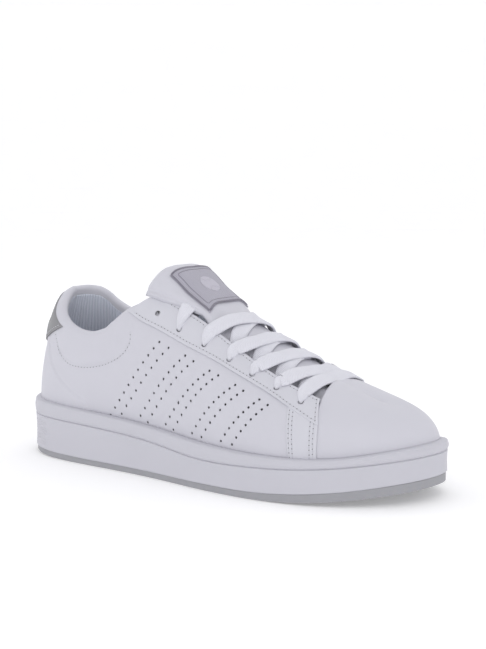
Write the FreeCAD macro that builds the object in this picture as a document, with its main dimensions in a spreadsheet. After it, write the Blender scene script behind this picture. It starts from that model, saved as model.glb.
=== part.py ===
# Court shoe, right foot: cupsole, layered leather upper, padded collar, sprung tongue tip and flat lace.
# X runs from heel to toe, Y to the inner (medial) side, Z up. The origin is under the middle of the sole.
import FreeCAD
import Part
import math
import os
from FreeCAD import Vector

doc = FreeCAD.newDocument("court_shoe")
sheet = doc.addObject("Spreadsheet::Sheet", "sizes")

# Driving dimensions in millimetres: alias and value.
sizes = [
    ("shoe_length", 300.0),
    ("heel_overhang", 0.7),
    ("side_shift", 1.85),
    ("pad_height", 60.0),
    ("wall_thickness", 6.2),
    ("tread_inset", 0.8),
    ("foam_inset", 6.5),
    ("board_inset", 12.6),
    ("board_thickness", 2.0),
    ("sock_inset", 14.2),
    ("sock_thickness", 4.0),
    ("leather", 1.4),
    ("overlay", 1.2),
    ("lining_cloth", 1.1),
    ("play", 0.1),
    ("stiffener", 0.9),
    ("counter_thickness", 1.5),
    ("collar_padding", 6.0),
    ("tongue_padding", 6.0),
    ("lace_width", 8.0),
    ("lace_thickness", 1.2),
    ("eyelet_hole", 3.6),
    ("aglet_length", 22.0),
    ("aglet_diameter", 2.6),
    ("badge_thickness", 1.0),
    ("groove_width", 2.4),
    ("groove_depth", 1.2),
    ("groove_spacing", 9.0),
]
for row, (alias, value) in enumerate(sizes, start=1):
    sheet.set("A%d" % row, alias)
    sheet.set("B%d" % row, "%g" % value)
    sheet.setAlias("B%d" % row, alias)
doc.recompute()


def cell(alias):
    return float(sheet.get(alias))


stretch = cell("shoe_length") / 300.0
shift = Vector(-150.0 * stretch - cell("heel_overhang") / 2, cell("side_shift"), 0)
nodes = []

# ---------------------------------------------------------------- sole outline and side profiles
# Stations go round the shoe: 0 at the toe tip, 1-9 the outer side, 10 the heel, 11-19 the inner side.
outline_poles = [
    (303, 9), (295, -17), (273, -38), (244, -53), (208, -57), (172, -54.5), (136, -47.5),
    (98, -44), (56, -43), (15, -37), (-6.5, 0), (15, 37), (56, 42), (98, 37),
    (136, 36), (172, 42), (208, 52), (244, 53), (273, 47), (294, 34),
]
stations = len(outline_poles)
middle = (150.0, 0.0)
profile_x = [0, 60, 120, 170, 220, 260, 300]
wall_top = [37, 35.4, 32, 27.8, 26, 27.4, 33.8]
tread_top = [4.6, 3.5, 3.4, 3.6, 4.6, 8.2, 14.5]
cup_floor = [9.6, 8.5, 8.4, 8.4, 9.2, 11.2, 16.5]
foam_top = [21.4, 20.3, 16.7, 13.8, 13.1, 14.5, 19.2]


def outward(index, poles):
    ahead = poles[(index + 1) % stations]
    behind = poles[(index - 1) % stations]
    normal = Vector(ahead[1] - behind[1], behind[0] - ahead[0], 0)
    normal.normalize()
    away = Vector(poles[index][0] - middle[0], poles[index][1] - middle[1], 0)
    return normal if normal.dot(away) > 0 else normal * -1


normals = [outward(index, outline_poles) for index in range(stations)]


def inset_poles(distance):
    """Outline poles moved inwards along their own normals."""
    moved = []
    for (x, y), normal in zip(outline_poles, normals):
        moved.append(Vector(x * stretch, y, 0) - normal * distance)
    return moved


def periodic_curve(poles):
    curve = Part.BSplineCurve()
    count = len(poles)
    curve.buildFromPolesMultsKnots(poles, [1] * (count + 1), list(range(count + 1)), True, 3)
    return curve


def origin_plane(body, role):
    return next(f for f in body.Origin.OriginFeatures if f.Role == role)


def sketch_on(body, role, name):
    sketch = body.newObject("Sketcher::SketchObject", name)
    sketch.AttachmentSupport = (origin_plane(body, role), [""])
    sketch.MapMode = "FlatFace"
    return sketch


def side_points(heights, lift=0.0):
    return [Vector(x * stretch + shift.x, z + lift, 0) for x, z in zip(profile_x, heights)]


def side_curve(heights, lift=0.0):
    curve = Part.BSplineCurve()
    points = side_points(heights, lift)
    # the curve runs a little past both ends so that a cut never stops at the outline
    slope_heel = (points[1] - points[0]) * 0.2
    slope_toe = (points[-1] - points[-2]) * 0.3
    curve.interpolate([points[0] - slope_heel] + points + [points[-1] + slope_toe])
    return curve


def close_above(sketch, curve, height):
    """A closed region from the curve up to a height: what a pocket removes."""
    start = curve.value(curve.FirstParameter)
    end = curve.value(curve.LastParameter)
    sketch.addGeometry(curve, False)
    sketch.addGeometry(Part.LineSegment(end, Vector(end.x, height, 0)), False)
    sketch.addGeometry(Part.LineSegment(Vector(end.x, height, 0), Vector(start.x, height, 0)), False)
    sketch.addGeometry(Part.LineSegment(Vector(start.x, height, 0), start), False)


def cut_side(body, name, curve, height):
    """Cuts away everything between a side profile and a height, right across the shoe."""
    sketch = sketch_on(body, "XZ_Plane", name + "_profile")
    close_above(sketch, curve, height)
    doc.recompute()
    before = body.Shape.Volume
    pocket = body.newObject("PartDesign::Pocket", name)
    pocket.Profile = sketch
    pocket.Type = "ThroughAll"
    pocket.Midplane = True
    doc.recompute()
    assert body.Shape.Volume < before - 1.0, name + " cut nothing"
    return pocket


def outline_sketch(body, name, distance):
    sketch = sketch_on(body, "XY_Plane", name)
    poles = [pole + shift for pole in inset_poles(distance)]
    sketch.addGeometry(periodic_curve(poles), False)
    return sketch


def sole_body(label, distance):
    body = doc.addObject("PartDesign::Body", label)
    body.Label = label
    sketch = outline_sketch(body, label + "_outline", distance)
    pad = body.newObject("PartDesign::Pad", label + "_block")
    pad.Profile = sketch
    pad.setExpression("Length", "sizes.pad_height")
    doc.recompute()
    nodes.append(body)
    return body


high = 90.0
low = -20.0


def cut_object(label, base, tool):
    cut = doc.addObject("Part::Cut", label)
    cut.Label = label
    cut.Base = base
    cut.Tool = tool
    doc.recompute()
    nodes.append(cut)
    return cut


# ---------------------------------------------------------------- sole
def ground_curve():
    """The walking surface: flat in the middle, a long toe spring and a slight heel bevel as arcs."""
    flat_back = 55 * stretch + shift.x
    flat_front = 205 * stretch + shift.x
    heel = Vector(-4 + shift.x, 3.3, 0)
    toe = Vector(306 * stretch + shift.x, 10.6, 0)
    back = Vector(flat_back, 0, 0)
    front = Vector(flat_front, 0, 0)
    return back, front, heel, toe


def tangent_arc(start, end):
    """Arc from a point on the ground, where it is level, up to an end point."""
    run = end.x - start.x
    rise = end.y - start.y
    radius = (run * run + rise * rise) / (2 * rise)
    half = math.atan2(abs(run), radius - rise) / 2
    middle_x = start.x + math.copysign(radius * math.sin(half), run)
    middle_y = start.y + radius * (1 - math.cos(half))
    return Part.Arc(start, Vector(middle_x, middle_y, 0), end)


def make_outsole():
    body = sole_body("outsole", cell("tread_inset"))
    cut_side(body, "tread_crown", side_curve(tread_top), high)
    sketch = sketch_on(body, "XZ_Plane", "ground_profile")
    back, front, heel, toe = ground_curve()
    sketch.addGeometry(tangent_arc(back, heel), False)
    sketch.addGeometry(Part.LineSegment(back, front), False)
    sketch.addGeometry(tangent_arc(front, toe), False)
    sketch.addGeometry(Part.LineSegment(toe, Vector(toe.x, low, 0)), False)
    sketch.addGeometry(Part.LineSegment(Vector(toe.x, low, 0), Vector(heel.x, low, 0)), False)
    sketch.addGeometry(Part.LineSegment(Vector(heel.x, low, 0), heel), False)
    doc.recompute()
    before = body.Shape.Volume
    pocket = body.newObject("PartDesign::Pocket", "ground_cut")
    pocket.Profile = sketch
    pocket.Type = "ThroughAll"
    pocket.Midplane = True
    doc.recompute()
    assert body.Shape.Volume < before - 1.0, "ground cut removed nothing"
    add_grooves(body)
    return body


def add_grooves(body):
    """Cross grooves in the tread, patterned along the sole and stopping short of its sides."""
    sketch = sketch_on(body, "XY_Plane", "groove_outline")
    first = 58 * stretch + shift.x
    half = 25.0
    width = cell("groove_width")
    corners = [Vector(first, -half, 0), Vector(first + width, -half, 0)]
    corners += [Vector(first + width, half, 0), Vector(first, half, 0)]
    for start, end in zip(corners, corners[1:] + corners[:1]):
        sketch.addGeometry(Part.LineSegment(start, end), False)
    doc.recompute()
    before = len(body.Shape.Faces)
    pocket = body.newObject("PartDesign::Pocket", "groove")
    pocket.Profile = sketch
    pocket.Reversed = True
    pocket.setExpression("Length", "sizes.groove_depth")
    doc.recompute()
    assert len(body.Shape.Faces) == before + 5, "groove cut nothing"
    pattern = body.newObject("PartDesign::LinearPattern", "grooves")
    pattern.Originals = [pocket]
    pattern.Direction = (sketch, ["H_Axis"])
    pattern.Occurrences = 16
    pattern.setExpression("Length", "sizes.groove_spacing * 15")
    body.Tip = pattern
    doc.recompute()
    assert len(body.Shape.Faces) == before + 5 * pattern.Occurrences, "grooves were not repeated"


def make_cupsole():
    block = sole_body("cup_block", 0.0)
    nodes.remove(block)
    cut_side(block, "wall_top", side_curve(wall_top), high)
    cut_side(block, "cup_bottom", side_curve(tread_top), low)
    hollow = sole_body("cup_hollow", cell("wall_thickness"))
    nodes.remove(hollow)
    cut_side(hollow, "hollow_floor", side_curve(cup_floor), low)
    return cut_object("cupsole", block, hollow)


def sole_layer(label, inset, bottom, bottom_lift, top, top_lift):
    body = sole_body(label, inset)
    cut_side(body, label + "_top", side_curve(top, top_lift), high)
    cut_side(body, label + "_base", side_curve(bottom, bottom_lift), low)
    return body


make_outsole()
make_cupsole()
sole_layer("midsole_foam", cell("foam_inset"), cup_floor, 0, foam_top, 0)
board_top = cell("board_thickness")
sock_top = board_top + cell("sock_thickness")
sole_layer("strobel_board", cell("board_inset"), foam_top, 0, foam_top, board_top)
sole_layer("sockliner", cell("sock_inset"), foam_top, board_top, foam_top, sock_top)
print("sole done")

# ---------------------------------------------------------------- master surface of the upper
# Four rows of poles per station: lasting edge, side wall, shoulder and ridge. Each row has a direction
# that a layer moves along, so inner and outer layers nest without crossing.
edge_inset = 9.0
edge_height = [20, 19, 16, 14, 13.5, 14, 16, 19, 21, 22, 22]
wall_height = [36, 38, 41, 45, 52, 62, 72, 70, 64, 58, 54]
wall_inset = [1, 1.5, 2, 1.5, 1, 2.5, 3.5, 3, 2, 1.5, 2]
shoulder = [
    (293, 9, 49), (284, -10, 54), (265, -24, 59.5), (240, -27, 68), (207, -27, 80), (171, -26, 100),
    (134, -30, 118), (96, -34, 108), (58, -33, 96), (26, -22, 92), (2, 0, 84),
]
ridge = [
    (264, 4, 54.5), (260, 3, 56), (252, 2, 60), (234, 1, 66), (207, 0, 74), (171, 0, 94),
    (134, 0, 117), (98, -20, 128), (62, -27, 126), (30, -17, 124), (24, 0, 122),
]
inner_toe_bulge = {0: (22, 6), 1: (22, 6), 2: (8, 4), 3: (2, 2)}
shoulder_rise = [0.75, 0.75, 0.85, 0.85, 0.8, 0.7, 0.5, 0.1, 0, 0, 0]
ridge_rise = [1, 1, 1, 1, 1, 1, 0.95, 0.3, 0, 0, 0]


def tilted(normal, rise):
    return normal * math.sqrt(1 - rise * rise) + Vector(0, 0, rise)


def station_rows(index):
    """Poles and layer directions of the four rows at one station."""
    k = index if index <= 10 else stations - index
    side = 1 if index <= 10 else -1
    x, y = outline_poles[index]
    base = Vector(x * stretch, y, 0) + shift
    normal = normals[index]
    edge = base - normal * edge_inset + Vector(0, 0, edge_height[k])
    wall = base - normal * wall_inset[k] + Vector(0, 0, wall_height[k])
    bulge = inner_toe_bulge.get(k, (0, 0)) if side < 0 else (0, 0)
    sx, sy, sz = shoulder[k]
    rx, ry, rz = ridge[k]
    top = Vector(sx * stretch, sy * side + bulge[0], sz) + shift
    crest = Vector(rx * stretch, ry * side + bulge[1], rz) + shift
    directions = [normal, normal, tilted(normal, shoulder_rise[k]), tilted(normal, ridge_rise[k])]
    return [edge, wall, top, crest], directions


net = [station_rows(index) for index in range(stations)]


def spline_weights(fraction):
    f = fraction
    return [
        (1 - f) ** 3 / 6,
        (3 * f ** 3 - 6 * f * f + 4) / 6,
        (-3 * f ** 3 + 3 * f * f + 3 * f + 1) / 6,
        f ** 3 / 6,
    ]


def bezier_weights(v):
    return [(1 - v) ** 3, 3 * v * (1 - v) ** 2, 3 * v * v * (1 - v), v ** 3]


def upper_point(u, v, layer):
    """Point of the upper at station u, height v, moved outwards by layer."""
    first = math.floor(u)
    along = spline_weights(u - first)
    up = bezier_weights(v)
    point = Vector(0, 0, 0)
    for i in range(4):
        rows, directions = net[(first + i - 1) % stations]
        for j in range(4):
            point += (rows[j] + directions[j] * layer) * (along[i] * up[j])
    return point


def upper_normal(u, v):
    step = 0.01
    along = upper_point(u + step, v, 0) - upper_point(u - step, v, 0)
    rise = upper_point(u, v + step, 0) - upper_point(u, v - step, 0)
    normal = rise.cross(along)
    normal.normalize()
    return normal


def level_curve(points):
    """Smooth height over station through a few (u, v) points, by monotone cubic pieces."""
    points = sorted(points)
    us = [p[0] for p in points]
    vs = [p[1] for p in points]
    steps = [(vs[i + 1] - vs[i]) / (us[i + 1] - us[i]) for i in range(len(us) - 1)]
    slopes = [steps[0]]
    for before, after in zip(steps, steps[1:]):
        slopes.append(0.0 if before * after <= 0 else 2 * before * after / (before + after))
    slopes.append(steps[-1])

    def height(u):
        i = max(k for k in range(len(us) - 1) if k == 0 or us[k] <= u)
        width = us[i + 1] - us[i]
        f = min(max((u - us[i]) / width, 0.0), 1.0)
        value = vs[i] * (1 + 2 * f) * (1 - f) ** 2 + vs[i + 1] * f * f * (3 - 2 * f)
        return value + width * f * (1 - f) * (slopes[i] * (1 - f) - slopes[i + 1] * f)

    return height


# ---------------------------------------------------------------- solids from two nested sheets
def spline_through(points):
    """Curve through points at whole-number parameters, so that neighbouring curves share their knots."""
    curve = Part.BSplineCurve()
    if len(points) == 2:
        curve.buildFromPolesMultsKnots(points, [2, 2], [0.0, 1.0], False, 1)
    else:
        curve.interpolate(Points=points, Parameters=[float(i) for i in range(len(points))])
    return curve


def fitted_surface(grid):
    rows = [spline_through(points) for points in grid]
    columns = [spline_through(list(poles)) for poles in zip(*[row.getPoles() for row in rows])]
    poles = [list(line) for line in zip(*[column.getPoles() for column in columns])]
    row, column = rows[0], columns[0]
    surface = Part.BSplineSurface()
    surface.buildFromPolesMultsKnots(
        poles, column.getMultiplicities(), row.getMultiplicities(), column.getKnots(), row.getKnots(),
        False, False, column.Degree, row.Degree)
    return surface


def border_curve(surface, side):
    """Boundary curve of a surface: its first or last row, or the start or end column."""
    row_first, row_last, column_first, column_last = surface.bounds()
    if side == "first":
        return surface.uIso(row_first)
    if side == "last":
        return surface.uIso(row_last)
    if side == "start":
        return surface.vIso(column_first)
    return surface.vIso(column_last)


def rim_face(outer, inner, side):
    upper = border_curve(outer, side)
    lower = border_curve(inner, side)
    surface = Part.BSplineSurface()
    surface.buildFromPolesMultsKnots(
        [upper.getPoles(), lower.getPoles()], [2, 2], upper.getMultiplicities(),
        [0.0, 1.0], upper.getKnots(), False, False, 1, upper.Degree)
    return surface.toShape()


def closed_solid(faces, label):
    shell = Part.Compound(faces)
    shell.sewShape(0.01)
    shells = shell.Shells
    assert len(shells) == 1, "%s did not close: %d shells" % (label, len(shells))
    assert shells[0].isClosed(), label + " is open"
    solid = Part.Solid(shells[0])
    if solid.Volume < 0:
        solid.reverse()
    return solid


def sheet_solid(outer_grid, inner_grid, label):
    outer = fitted_surface(outer_grid)
    inner = fitted_surface(inner_grid)
    faces = [outer.toShape(), inner.toShape()]
    faces += [rim_face(outer, inner, side) for side in ("first", "last", "start", "end")]
    return closed_solid(faces, label)


def add_shape(label, shape):
    feature = doc.addObject("Part::Feature", label)
    feature.Label = label
    feature.Shape = shape
    nodes.append(feature)
    return feature


def upper_patch(start, stop, bottom, top, outer_layer, inner_layer, label, rows=6):
    """Solid between two layers of the upper, from station start to stop and between two level curves."""
    columns = max(4, int(abs(stop - start) * 3) + 1)

    def grid(layer):
        points = []
        for i in range(columns + 1):
            u = start + (stop - start) * i / columns
            lower = bottom(u)
            upper = top(u)
            points.append([upper_point(u, lower + (upper - lower) * j / rows, layer) for j in range(rows + 1)])
        return points

    return sheet_solid(grid(outer_layer), grid(inner_layer), label)


def slanted_patch(lower, upper, outer_layer, inner_layer, label, rows=3):
    """Solid between two layers of the upper whose long borders are two lists of (u, v) points."""
    columns = 24
    low_height = level_curve(lower)
    high_height = level_curve(upper)

    def grid(layer):
        points = []
        for i in range(columns + 1):
            f = i / columns
            low_u = lower[0][0] + (lower[-1][0] - lower[0][0]) * f
            high_u = upper[0][0] + (upper[-1][0] - upper[0][0]) * f
            row = []
            for j in range(rows + 1):
                g = j / rows
                u = low_u + (high_u - low_u) * g
                v = low_height(low_u) + (high_height(high_u) - low_height(low_u)) * g
                row.append(upper_point(u, v, layer))
            points.append(row)
        return points

    return sheet_solid(grid(outer_layer), grid(inner_layer), label)


def front_surface(start, stop, layer):
    """Exact surface of the upper between two stations, over its full height."""
    poles = []
    first = math.floor(start)
    count = math.ceil(stop) - first
    for i in range(count + 3):
        rows, directions = net[(first + i - 1) % stations]
        poles.append([rows[j] + directions[j] * layer for j in range(4)])
    surface = Part.BSplineSurface()
    knots = [first - 3 + k for k in range(count + 7)]
    surface.buildFromPolesMultsKnots(poles, [1] * len(knots), [4, 4], knots, [0.0, 1.0], False, False, 3, 3)
    surface.segment(start, stop, 0.0, 1.0)
    return surface


def toe_shell(back, outer_layer, inner_layer, label):
    """Solid round the toe, closed over the top along the ridge, back to one station on both sides."""
    faces = []
    for start, stop, open_side in ((0.0, back, "last"), (-back, 0.0, "first")):
        outer = front_surface(start, stop, outer_layer)
        inner = front_surface(start, stop, inner_layer)
        faces += [outer.toShape(), inner.toShape()]
        faces += [rim_face(outer, inner, "start"), rim_face(outer, inner, open_side)]
    return closed_solid(faces, label)


def both_sides(function):
    """The same level on the outer side (station u) and the inner side (station 20 - u)."""
    return lambda u: function(u if u <= 10 else stations - u)


def below(function, drop):
    return lambda u: function(u) - drop


def level(height):
    return lambda u: height


# ---------------------------------------------------------------- seam and rim lines of the upper (station, height)
throat_points = [(2.9, 0.627), (4.9, 0.683), (5.67, 0.709), (6.06, 0.733), (6.34, 0.768), (6.54, 0.762)]
rim_points = [
    (6.69, 0.731), (7.01, 0.681), (7.26, 0.613), (7.45, 0.568), (7.72, 0.553), (8.02, 0.571),
    (8.39, 0.617), (9.0, 0.72), (9.45, 0.81), (9.75, 0.864), (10.0, 0.882),
]
inner_rim_points = [
    (6.69, 0.735), (7.01, 0.70), (7.26, 0.65), (7.45, 0.622), (7.72, 0.612), (8.02, 0.64),
    (8.25, 0.682), (8.5, 0.741), (8.75, 0.815), (9.0, 0.854), (9.5, 0.878), (10.0, 0.882),
]
outer_top = level_curve(throat_points + rim_points)
inner_top = level_curve(throat_points + inner_rim_points)


def top_line(u):
    """The upper's top edge; the inner side of the collar stands higher."""
    return outer_top(u) if u <= 10 else inner_top(stations - u)


tab_line = both_sides(level_curve([(8.45, 0.6), (8.7, 0.575), (9.2, 0.53), (10.0, 0.48)]))
eyestay_low = [(6.94, 0.653), (6.52, 0.573), (5.76, 0.507), (4.9, 0.511), (4.01, 0.505), (3.4, 0.457), (2.93, 0.391)]
eyestay_high = [(6.56, 0.755), (6.34, 0.764), (6.06, 0.729), (5.67, 0.705), (4.9, 0.679), (2.93, 0.623)]
strip_low = [(3.25, 0.03), (2.93, 0.03)]
strip_high = [(3.42, 0.448), (2.93, 0.38)]
vamp_end = 2.9
collar_start = 6.9

leather = cell("leather")
play = cell("play")
cloth = cell("lining_cloth")
under_leather = -leather - play
overlay_low = play
overlay_high = play + cell("overlay")


def mirrored(points):
    return [(stations - u, v) for u, v in points]


def make_front():
    stiffener_low = under_leather - cell("stiffener")
    lining_high = stiffener_low - play
    add_shape("vamp", toe_shell(vamp_end, 0, -leather, "vamp"))
    add_shape("toe_puff", toe_shell(1.6, under_leather, stiffener_low, "toe_puff"))
    add_shape("vamp_lining", toe_shell(vamp_end - 0.02, lining_high, lining_high - cloth, "vamp_lining"))


def make_back():
    counter_low = under_leather - cell("counter_thickness")
    foam_low = under_leather - cell("collar_padding")
    far = stations - collar_start
    bottom = level(0.02)
    add_shape("heel_counter", upper_patch(7.6, 12.4, bottom, level(0.33), under_leather, counter_low, "counter"))
    inner = counter_low - play
    add_shape("heel_lining", upper_patch(collar_start, far, bottom, level(0.34), inner, inner - cloth, "heel"))
    foam_top_line = below(top_line, 0.015)
    foam = upper_patch(collar_start, far, level(0.36), foam_top_line, under_leather, foam_low, "collar_foam")
    add_shape("collar_foam", foam)
    skin = foam_low - play
    skin_top = below(top_line, 0.005)
    lining = upper_patch(collar_start, far, level(0.345), skin_top, skin, skin - cloth, "collar_lining")
    add_shape("collar_lining", lining)
    tab = upper_patch(8.45, 11.55, tab_line, below(top_line, 0.01), overlay_high, overlay_low, "heel_tab")
    add_shape("heel_tab", tab)


# ---------------------------------------------------------------- eyelets
eyelets = [(6.35, 0.643), (5.86, 0.575), (5.31, 0.561), (4.78, 0.567), (4.29, 0.563), (3.78, 0.559), (3.25, 0.531)]


def side_station(u, side):
    return u if side < 0 else stations - u


def eyelet_drills(side):
    """Cylinders through the eyestay at every eyelet of one side (-1 outer, 1 inner)."""
    drills = []
    length = 12.0
    for u, v in eyelets:
        station = side_station(u, side)
        normal = upper_normal(station, v)
        base = upper_point(station, v, 0) - normal * (length / 2)
        drills.append(Part.makeCylinder(cell("eyelet_hole") / 2, length, base, normal))
    return Part.Compound(drills)


def make_side(side, name):
    drills = eyelet_drills(side)
    start, stop = (vamp_end + 0.02, 9.99) if side < 0 else (10.01, stations - vamp_end - 0.02)
    quarter = upper_patch(start, stop, level(0), top_line, 0, -leather, name + "_quarter", 7)
    add_shape(name + "_quarter", quarter.cut(drills))
    first, last = (vamp_end + 0.05, 6.85) if side < 0 else (stations - 6.85, stations - vamp_end - 0.05)
    line = below(top_line, 0.004)
    lining = upper_patch(first, last, level(0.02), line, under_leather, under_leather - cloth, name + "_lining", 7)
    add_shape(name + "_lining", lining.cut(drills))
    low_line, high_line, strip_foot, strip_head = eyestay_low, eyestay_high, strip_low, strip_high
    if side > 0:
        low_line, high_line = mirrored(eyestay_low), mirrored(eyestay_high)
        strip_foot, strip_head = mirrored(strip_low), mirrored(strip_high)
    stay = slanted_patch(low_line, high_line, overlay_high, overlay_low, name + "_eyestay")
    add_shape(name + "_eyestay", stay.cut(drills))
    strip = slanted_patch(strip_foot, strip_head, overlay_high, overlay_low, name + "_front_strip")
    add_shape(name + "_front_strip", strip)


# ---------------------------------------------------------------- tongue
tongue_layer = -6.3
crest_points = [(246, 56.5), (238, 59.8), (210, 74.5), (180, 90), (158, 104)]
crest = level_curve(crest_points)
tongue_sections = [-1.0, -0.5, 0.0, 0.5, 1.0]
tongue_start = 2.75
tongue_stop = 5.34
tongue_rows = 8


def lower_tongue_point(u, across, thickness):
    """Outer face at thickness 0. The side wings lie under the eyestays, the middle is arched."""
    if across == 0:
        side = upper_point(u, 0.66, tongue_layer)
        x = side.x
        height = crest((x - shift.x) / stretch)
        return Vector(x - 0.3 * thickness, shift.y, height - 0.95 * thickness)
    station = side_station(u, across)
    v = 0.5 if abs(across) == 1 else 0.64
    share = 0.45 if abs(across) == 1 else 0.8
    return upper_point(station, v, tongue_layer - thickness * share)


def make_lower_tongue():
    step = (tongue_stop - tongue_start) / tongue_rows
    rows = [tongue_start + step * i for i in range(tongue_rows + 1)]

    def grid(thickness):
        return [[lower_tongue_point(u, c, thickness) for c in tongue_sections] for u in rows]

    add_shape("tongue_lower", sheet_solid(grid(0), grid(cell("tongue_padding")), "tongue_lower"))
    return fitted_surface(grid(0))


# crest x and z, half width and side drop of the free tongue tip, from the hinge to the top
tip_rows = [
    (156.9, 104.5, 20.5, 3.2), (148, 110.7, 21.0, 3.2), (139, 117.0, 22.0, 3.3),
    (130, 123.2, 23.5, 3.5), (121, 127.6, 25.0, 4.0), (112.5, 128.0, 22.0, 5.0),
]


def tip_point(row, across, depth):
    """Point of the tongue tip at a row, across -1..1, and a depth below its outer face."""
    i = min(int(row), len(tip_rows) - 2)
    f = row - i
    x, z, half, drop = [a + (b - a) * f for a, b in zip(tip_rows[i], tip_rows[i + 1])]
    before, after = tip_rows[max(i - 1, 0)], tip_rows[min(i + 2, len(tip_rows) - 1)]
    down = Vector(before[1] - after[1], 0, after[0] - before[0])
    down.normalize()
    side = across * across
    point = Vector(x * stretch, across * half, z) + shift + Vector(-0.4, 0, -0.9) * (drop * side)
    thinning = 1 - 0.45 * side if depth > 0 else 1
    return point + down * depth * thinning


def make_tongue_tip():
    columns = [-1.0, -0.6, 0.0, 0.6, 1.0]

    def grid(depth, rows, width):
        return [[tip_point(row, c * width, depth) for c in columns] for row in rows]

    rows = [0, 1, 2, 3, 4, 5]
    padding = cell("tongue_padding")
    add_shape("tongue_top", sheet_solid(grid(0, rows, 1), grid(padding, rows, 1), "tongue_top"))
    badge_rows = [0.45, 1, 2, 3, 3.4]
    badge_low = -4 * play
    badge_high = badge_low - cell("badge_thickness")
    badge = sheet_solid(grid(badge_high, badge_rows, 0.86), grid(badge_low, badge_rows, 0.86), "tongue_badge")
    add_shape("tongue_badge", badge)


# ---------------------------------------------------------------- lace
lace_half = cell("lace_thickness") / 2
lace_over = overlay_high + lace_half + 0.5
lace_under = under_leather - cloth - 0.9 - lace_half


def strap(points, normals, label):
    """Flat lace along a smooth curve through the points, facing along the normals given at them."""
    curve = Part.BSplineCurve()
    curve.interpolate(points)
    first = curve.FirstParameter
    length = curve.LastParameter - first
    at_points = [(curve.parameter(p) - first) / length for p in points]
    samples = 6 * (len(points) - 1)
    top, bottom = [], []
    for i in range(samples + 1):
        f = i / samples
        k = max(j for j in range(len(points) - 1) if j == 0 or at_points[j] <= f + 1e-9)
        g = (f - at_points[k]) / (at_points[k + 1] - at_points[k])
        g = min(max(g, 0.0), 1.0)
        normal = normals[k] * (1 - g) + normals[k + 1] * g
        tangent = Vector(curve.tangent(first + length * f)[0])
        normal = normal - tangent * tangent.dot(normal)
        normal.normalize()
        width = tangent.cross(normal) * (cell("lace_width") / 2)
        point = curve.value(first + length * f)
        top.append([point + width + normal * lace_half, point - width + normal * lace_half])
        bottom.append([point + width - normal * lace_half, point - width - normal * lace_half])
    return sheet_solid(top, bottom, label)


def tongue_rest(u, across, lift):
    """Point and normal on the tongue's outer face between the eyestays, raised by lift."""
    row = (u - tongue_start) / (tongue_stop - tongue_start) * tongue_rows
    column = (across + 1) / 2 * (len(tongue_sections) - 1)
    normal = tongue_skin.normal(row, column)
    if normal.z < 0:
        normal = normal * -1
    return tongue_skin.value(row, column) + normal * lift, normal


def seat(u, v, side, layer):
    station = side_station(u, side)
    return upper_point(station, v, layer), upper_normal(station, v)


def lace_crossing(index, side, lift):
    """From the eyelet of one side, over the tongue and under the far eyestay to the next eyelet down."""
    u_from, v_from = eyelets[index]
    u_to, v_to = eyelets[index + 1]
    step = u_to - u_from
    throat = level_curve(throat_points)
    places = [
        seat(u_from - 0.02, v_from, side, lace_over),
        seat(u_from + step * 0.12, throat(u_from + step * 0.12) - 0.01, side, lace_over),
        tongue_rest(u_from + step * 0.3, 0.28 * side, lift + 0.5),
        tongue_rest(u_from + step * 0.5, 0, lift),
        tongue_rest(u_from + step * 0.66, -0.25 * side, lift),
        seat(u_from + step * 0.86, throat(u_from + step * 0.86) + 0.005, -side, lace_under),
        seat(u_to + 0.02, v_to, -side, lace_under),
    ]
    return [p for p, n in places], [n for p, n in places]


def make_lace():
    rest = lace_half + 0.8
    stack = cell("lace_thickness") + 0.6
    names = {-1: "outer", 1: "inner"}
    for index in range(len(eyelets) - 2, 1, -1):
        for side in (-1, 1):
            points, facing = lace_crossing(index, side, rest + (stack if side < 0 else 0))
            label = "lace_cross_%d_%s" % (index, names[side])
            add_shape(label, strap(points, facing, label))
    make_toe_bar(rest)
    for side, name in names.items():
        make_lace_run(side, name)
        make_lace_end(side, name)
        make_lace_turns(side, name)


def make_toe_bar(rest):
    """The lowest stretch, straight across between the two front eyelets and over both eyestays."""
    u, v = eyelets[-1]
    throat = level_curve(throat_points)
    places = [
        seat(u, v, -1, lace_over), seat(u, throat(u) - 0.01, -1, lace_over), tongue_rest(u, -0.25, rest + 2.6),
        tongue_rest(u, 0, rest + 2.9), tongue_rest(u, 0.25, rest + 4.2), seat(u, throat(u) - 0.01, 1, lace_over),
        seat(u, v, 1, lace_over),
    ]
    add_shape("lace_toe_bar", strap([p for p, n in places], [n for p, n in places], "lace_toe_bar"))


def make_lace_run(side, name):
    """Hidden stretch under the eyestay from the second laced eyelet up to the first."""
    (u_low, v_low), (u_high, v_high) = eyelets[2], eyelets[1]
    places = []
    for i in range(5):
        f = i / 4
        places.append(seat(u_low + (u_high - u_low) * f, v_low + (v_high - v_low) * f, side, lace_under))
    label = "lace_run_" + name
    add_shape(label, strap([p for p, n in places], [n for p, n in places], label))


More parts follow.
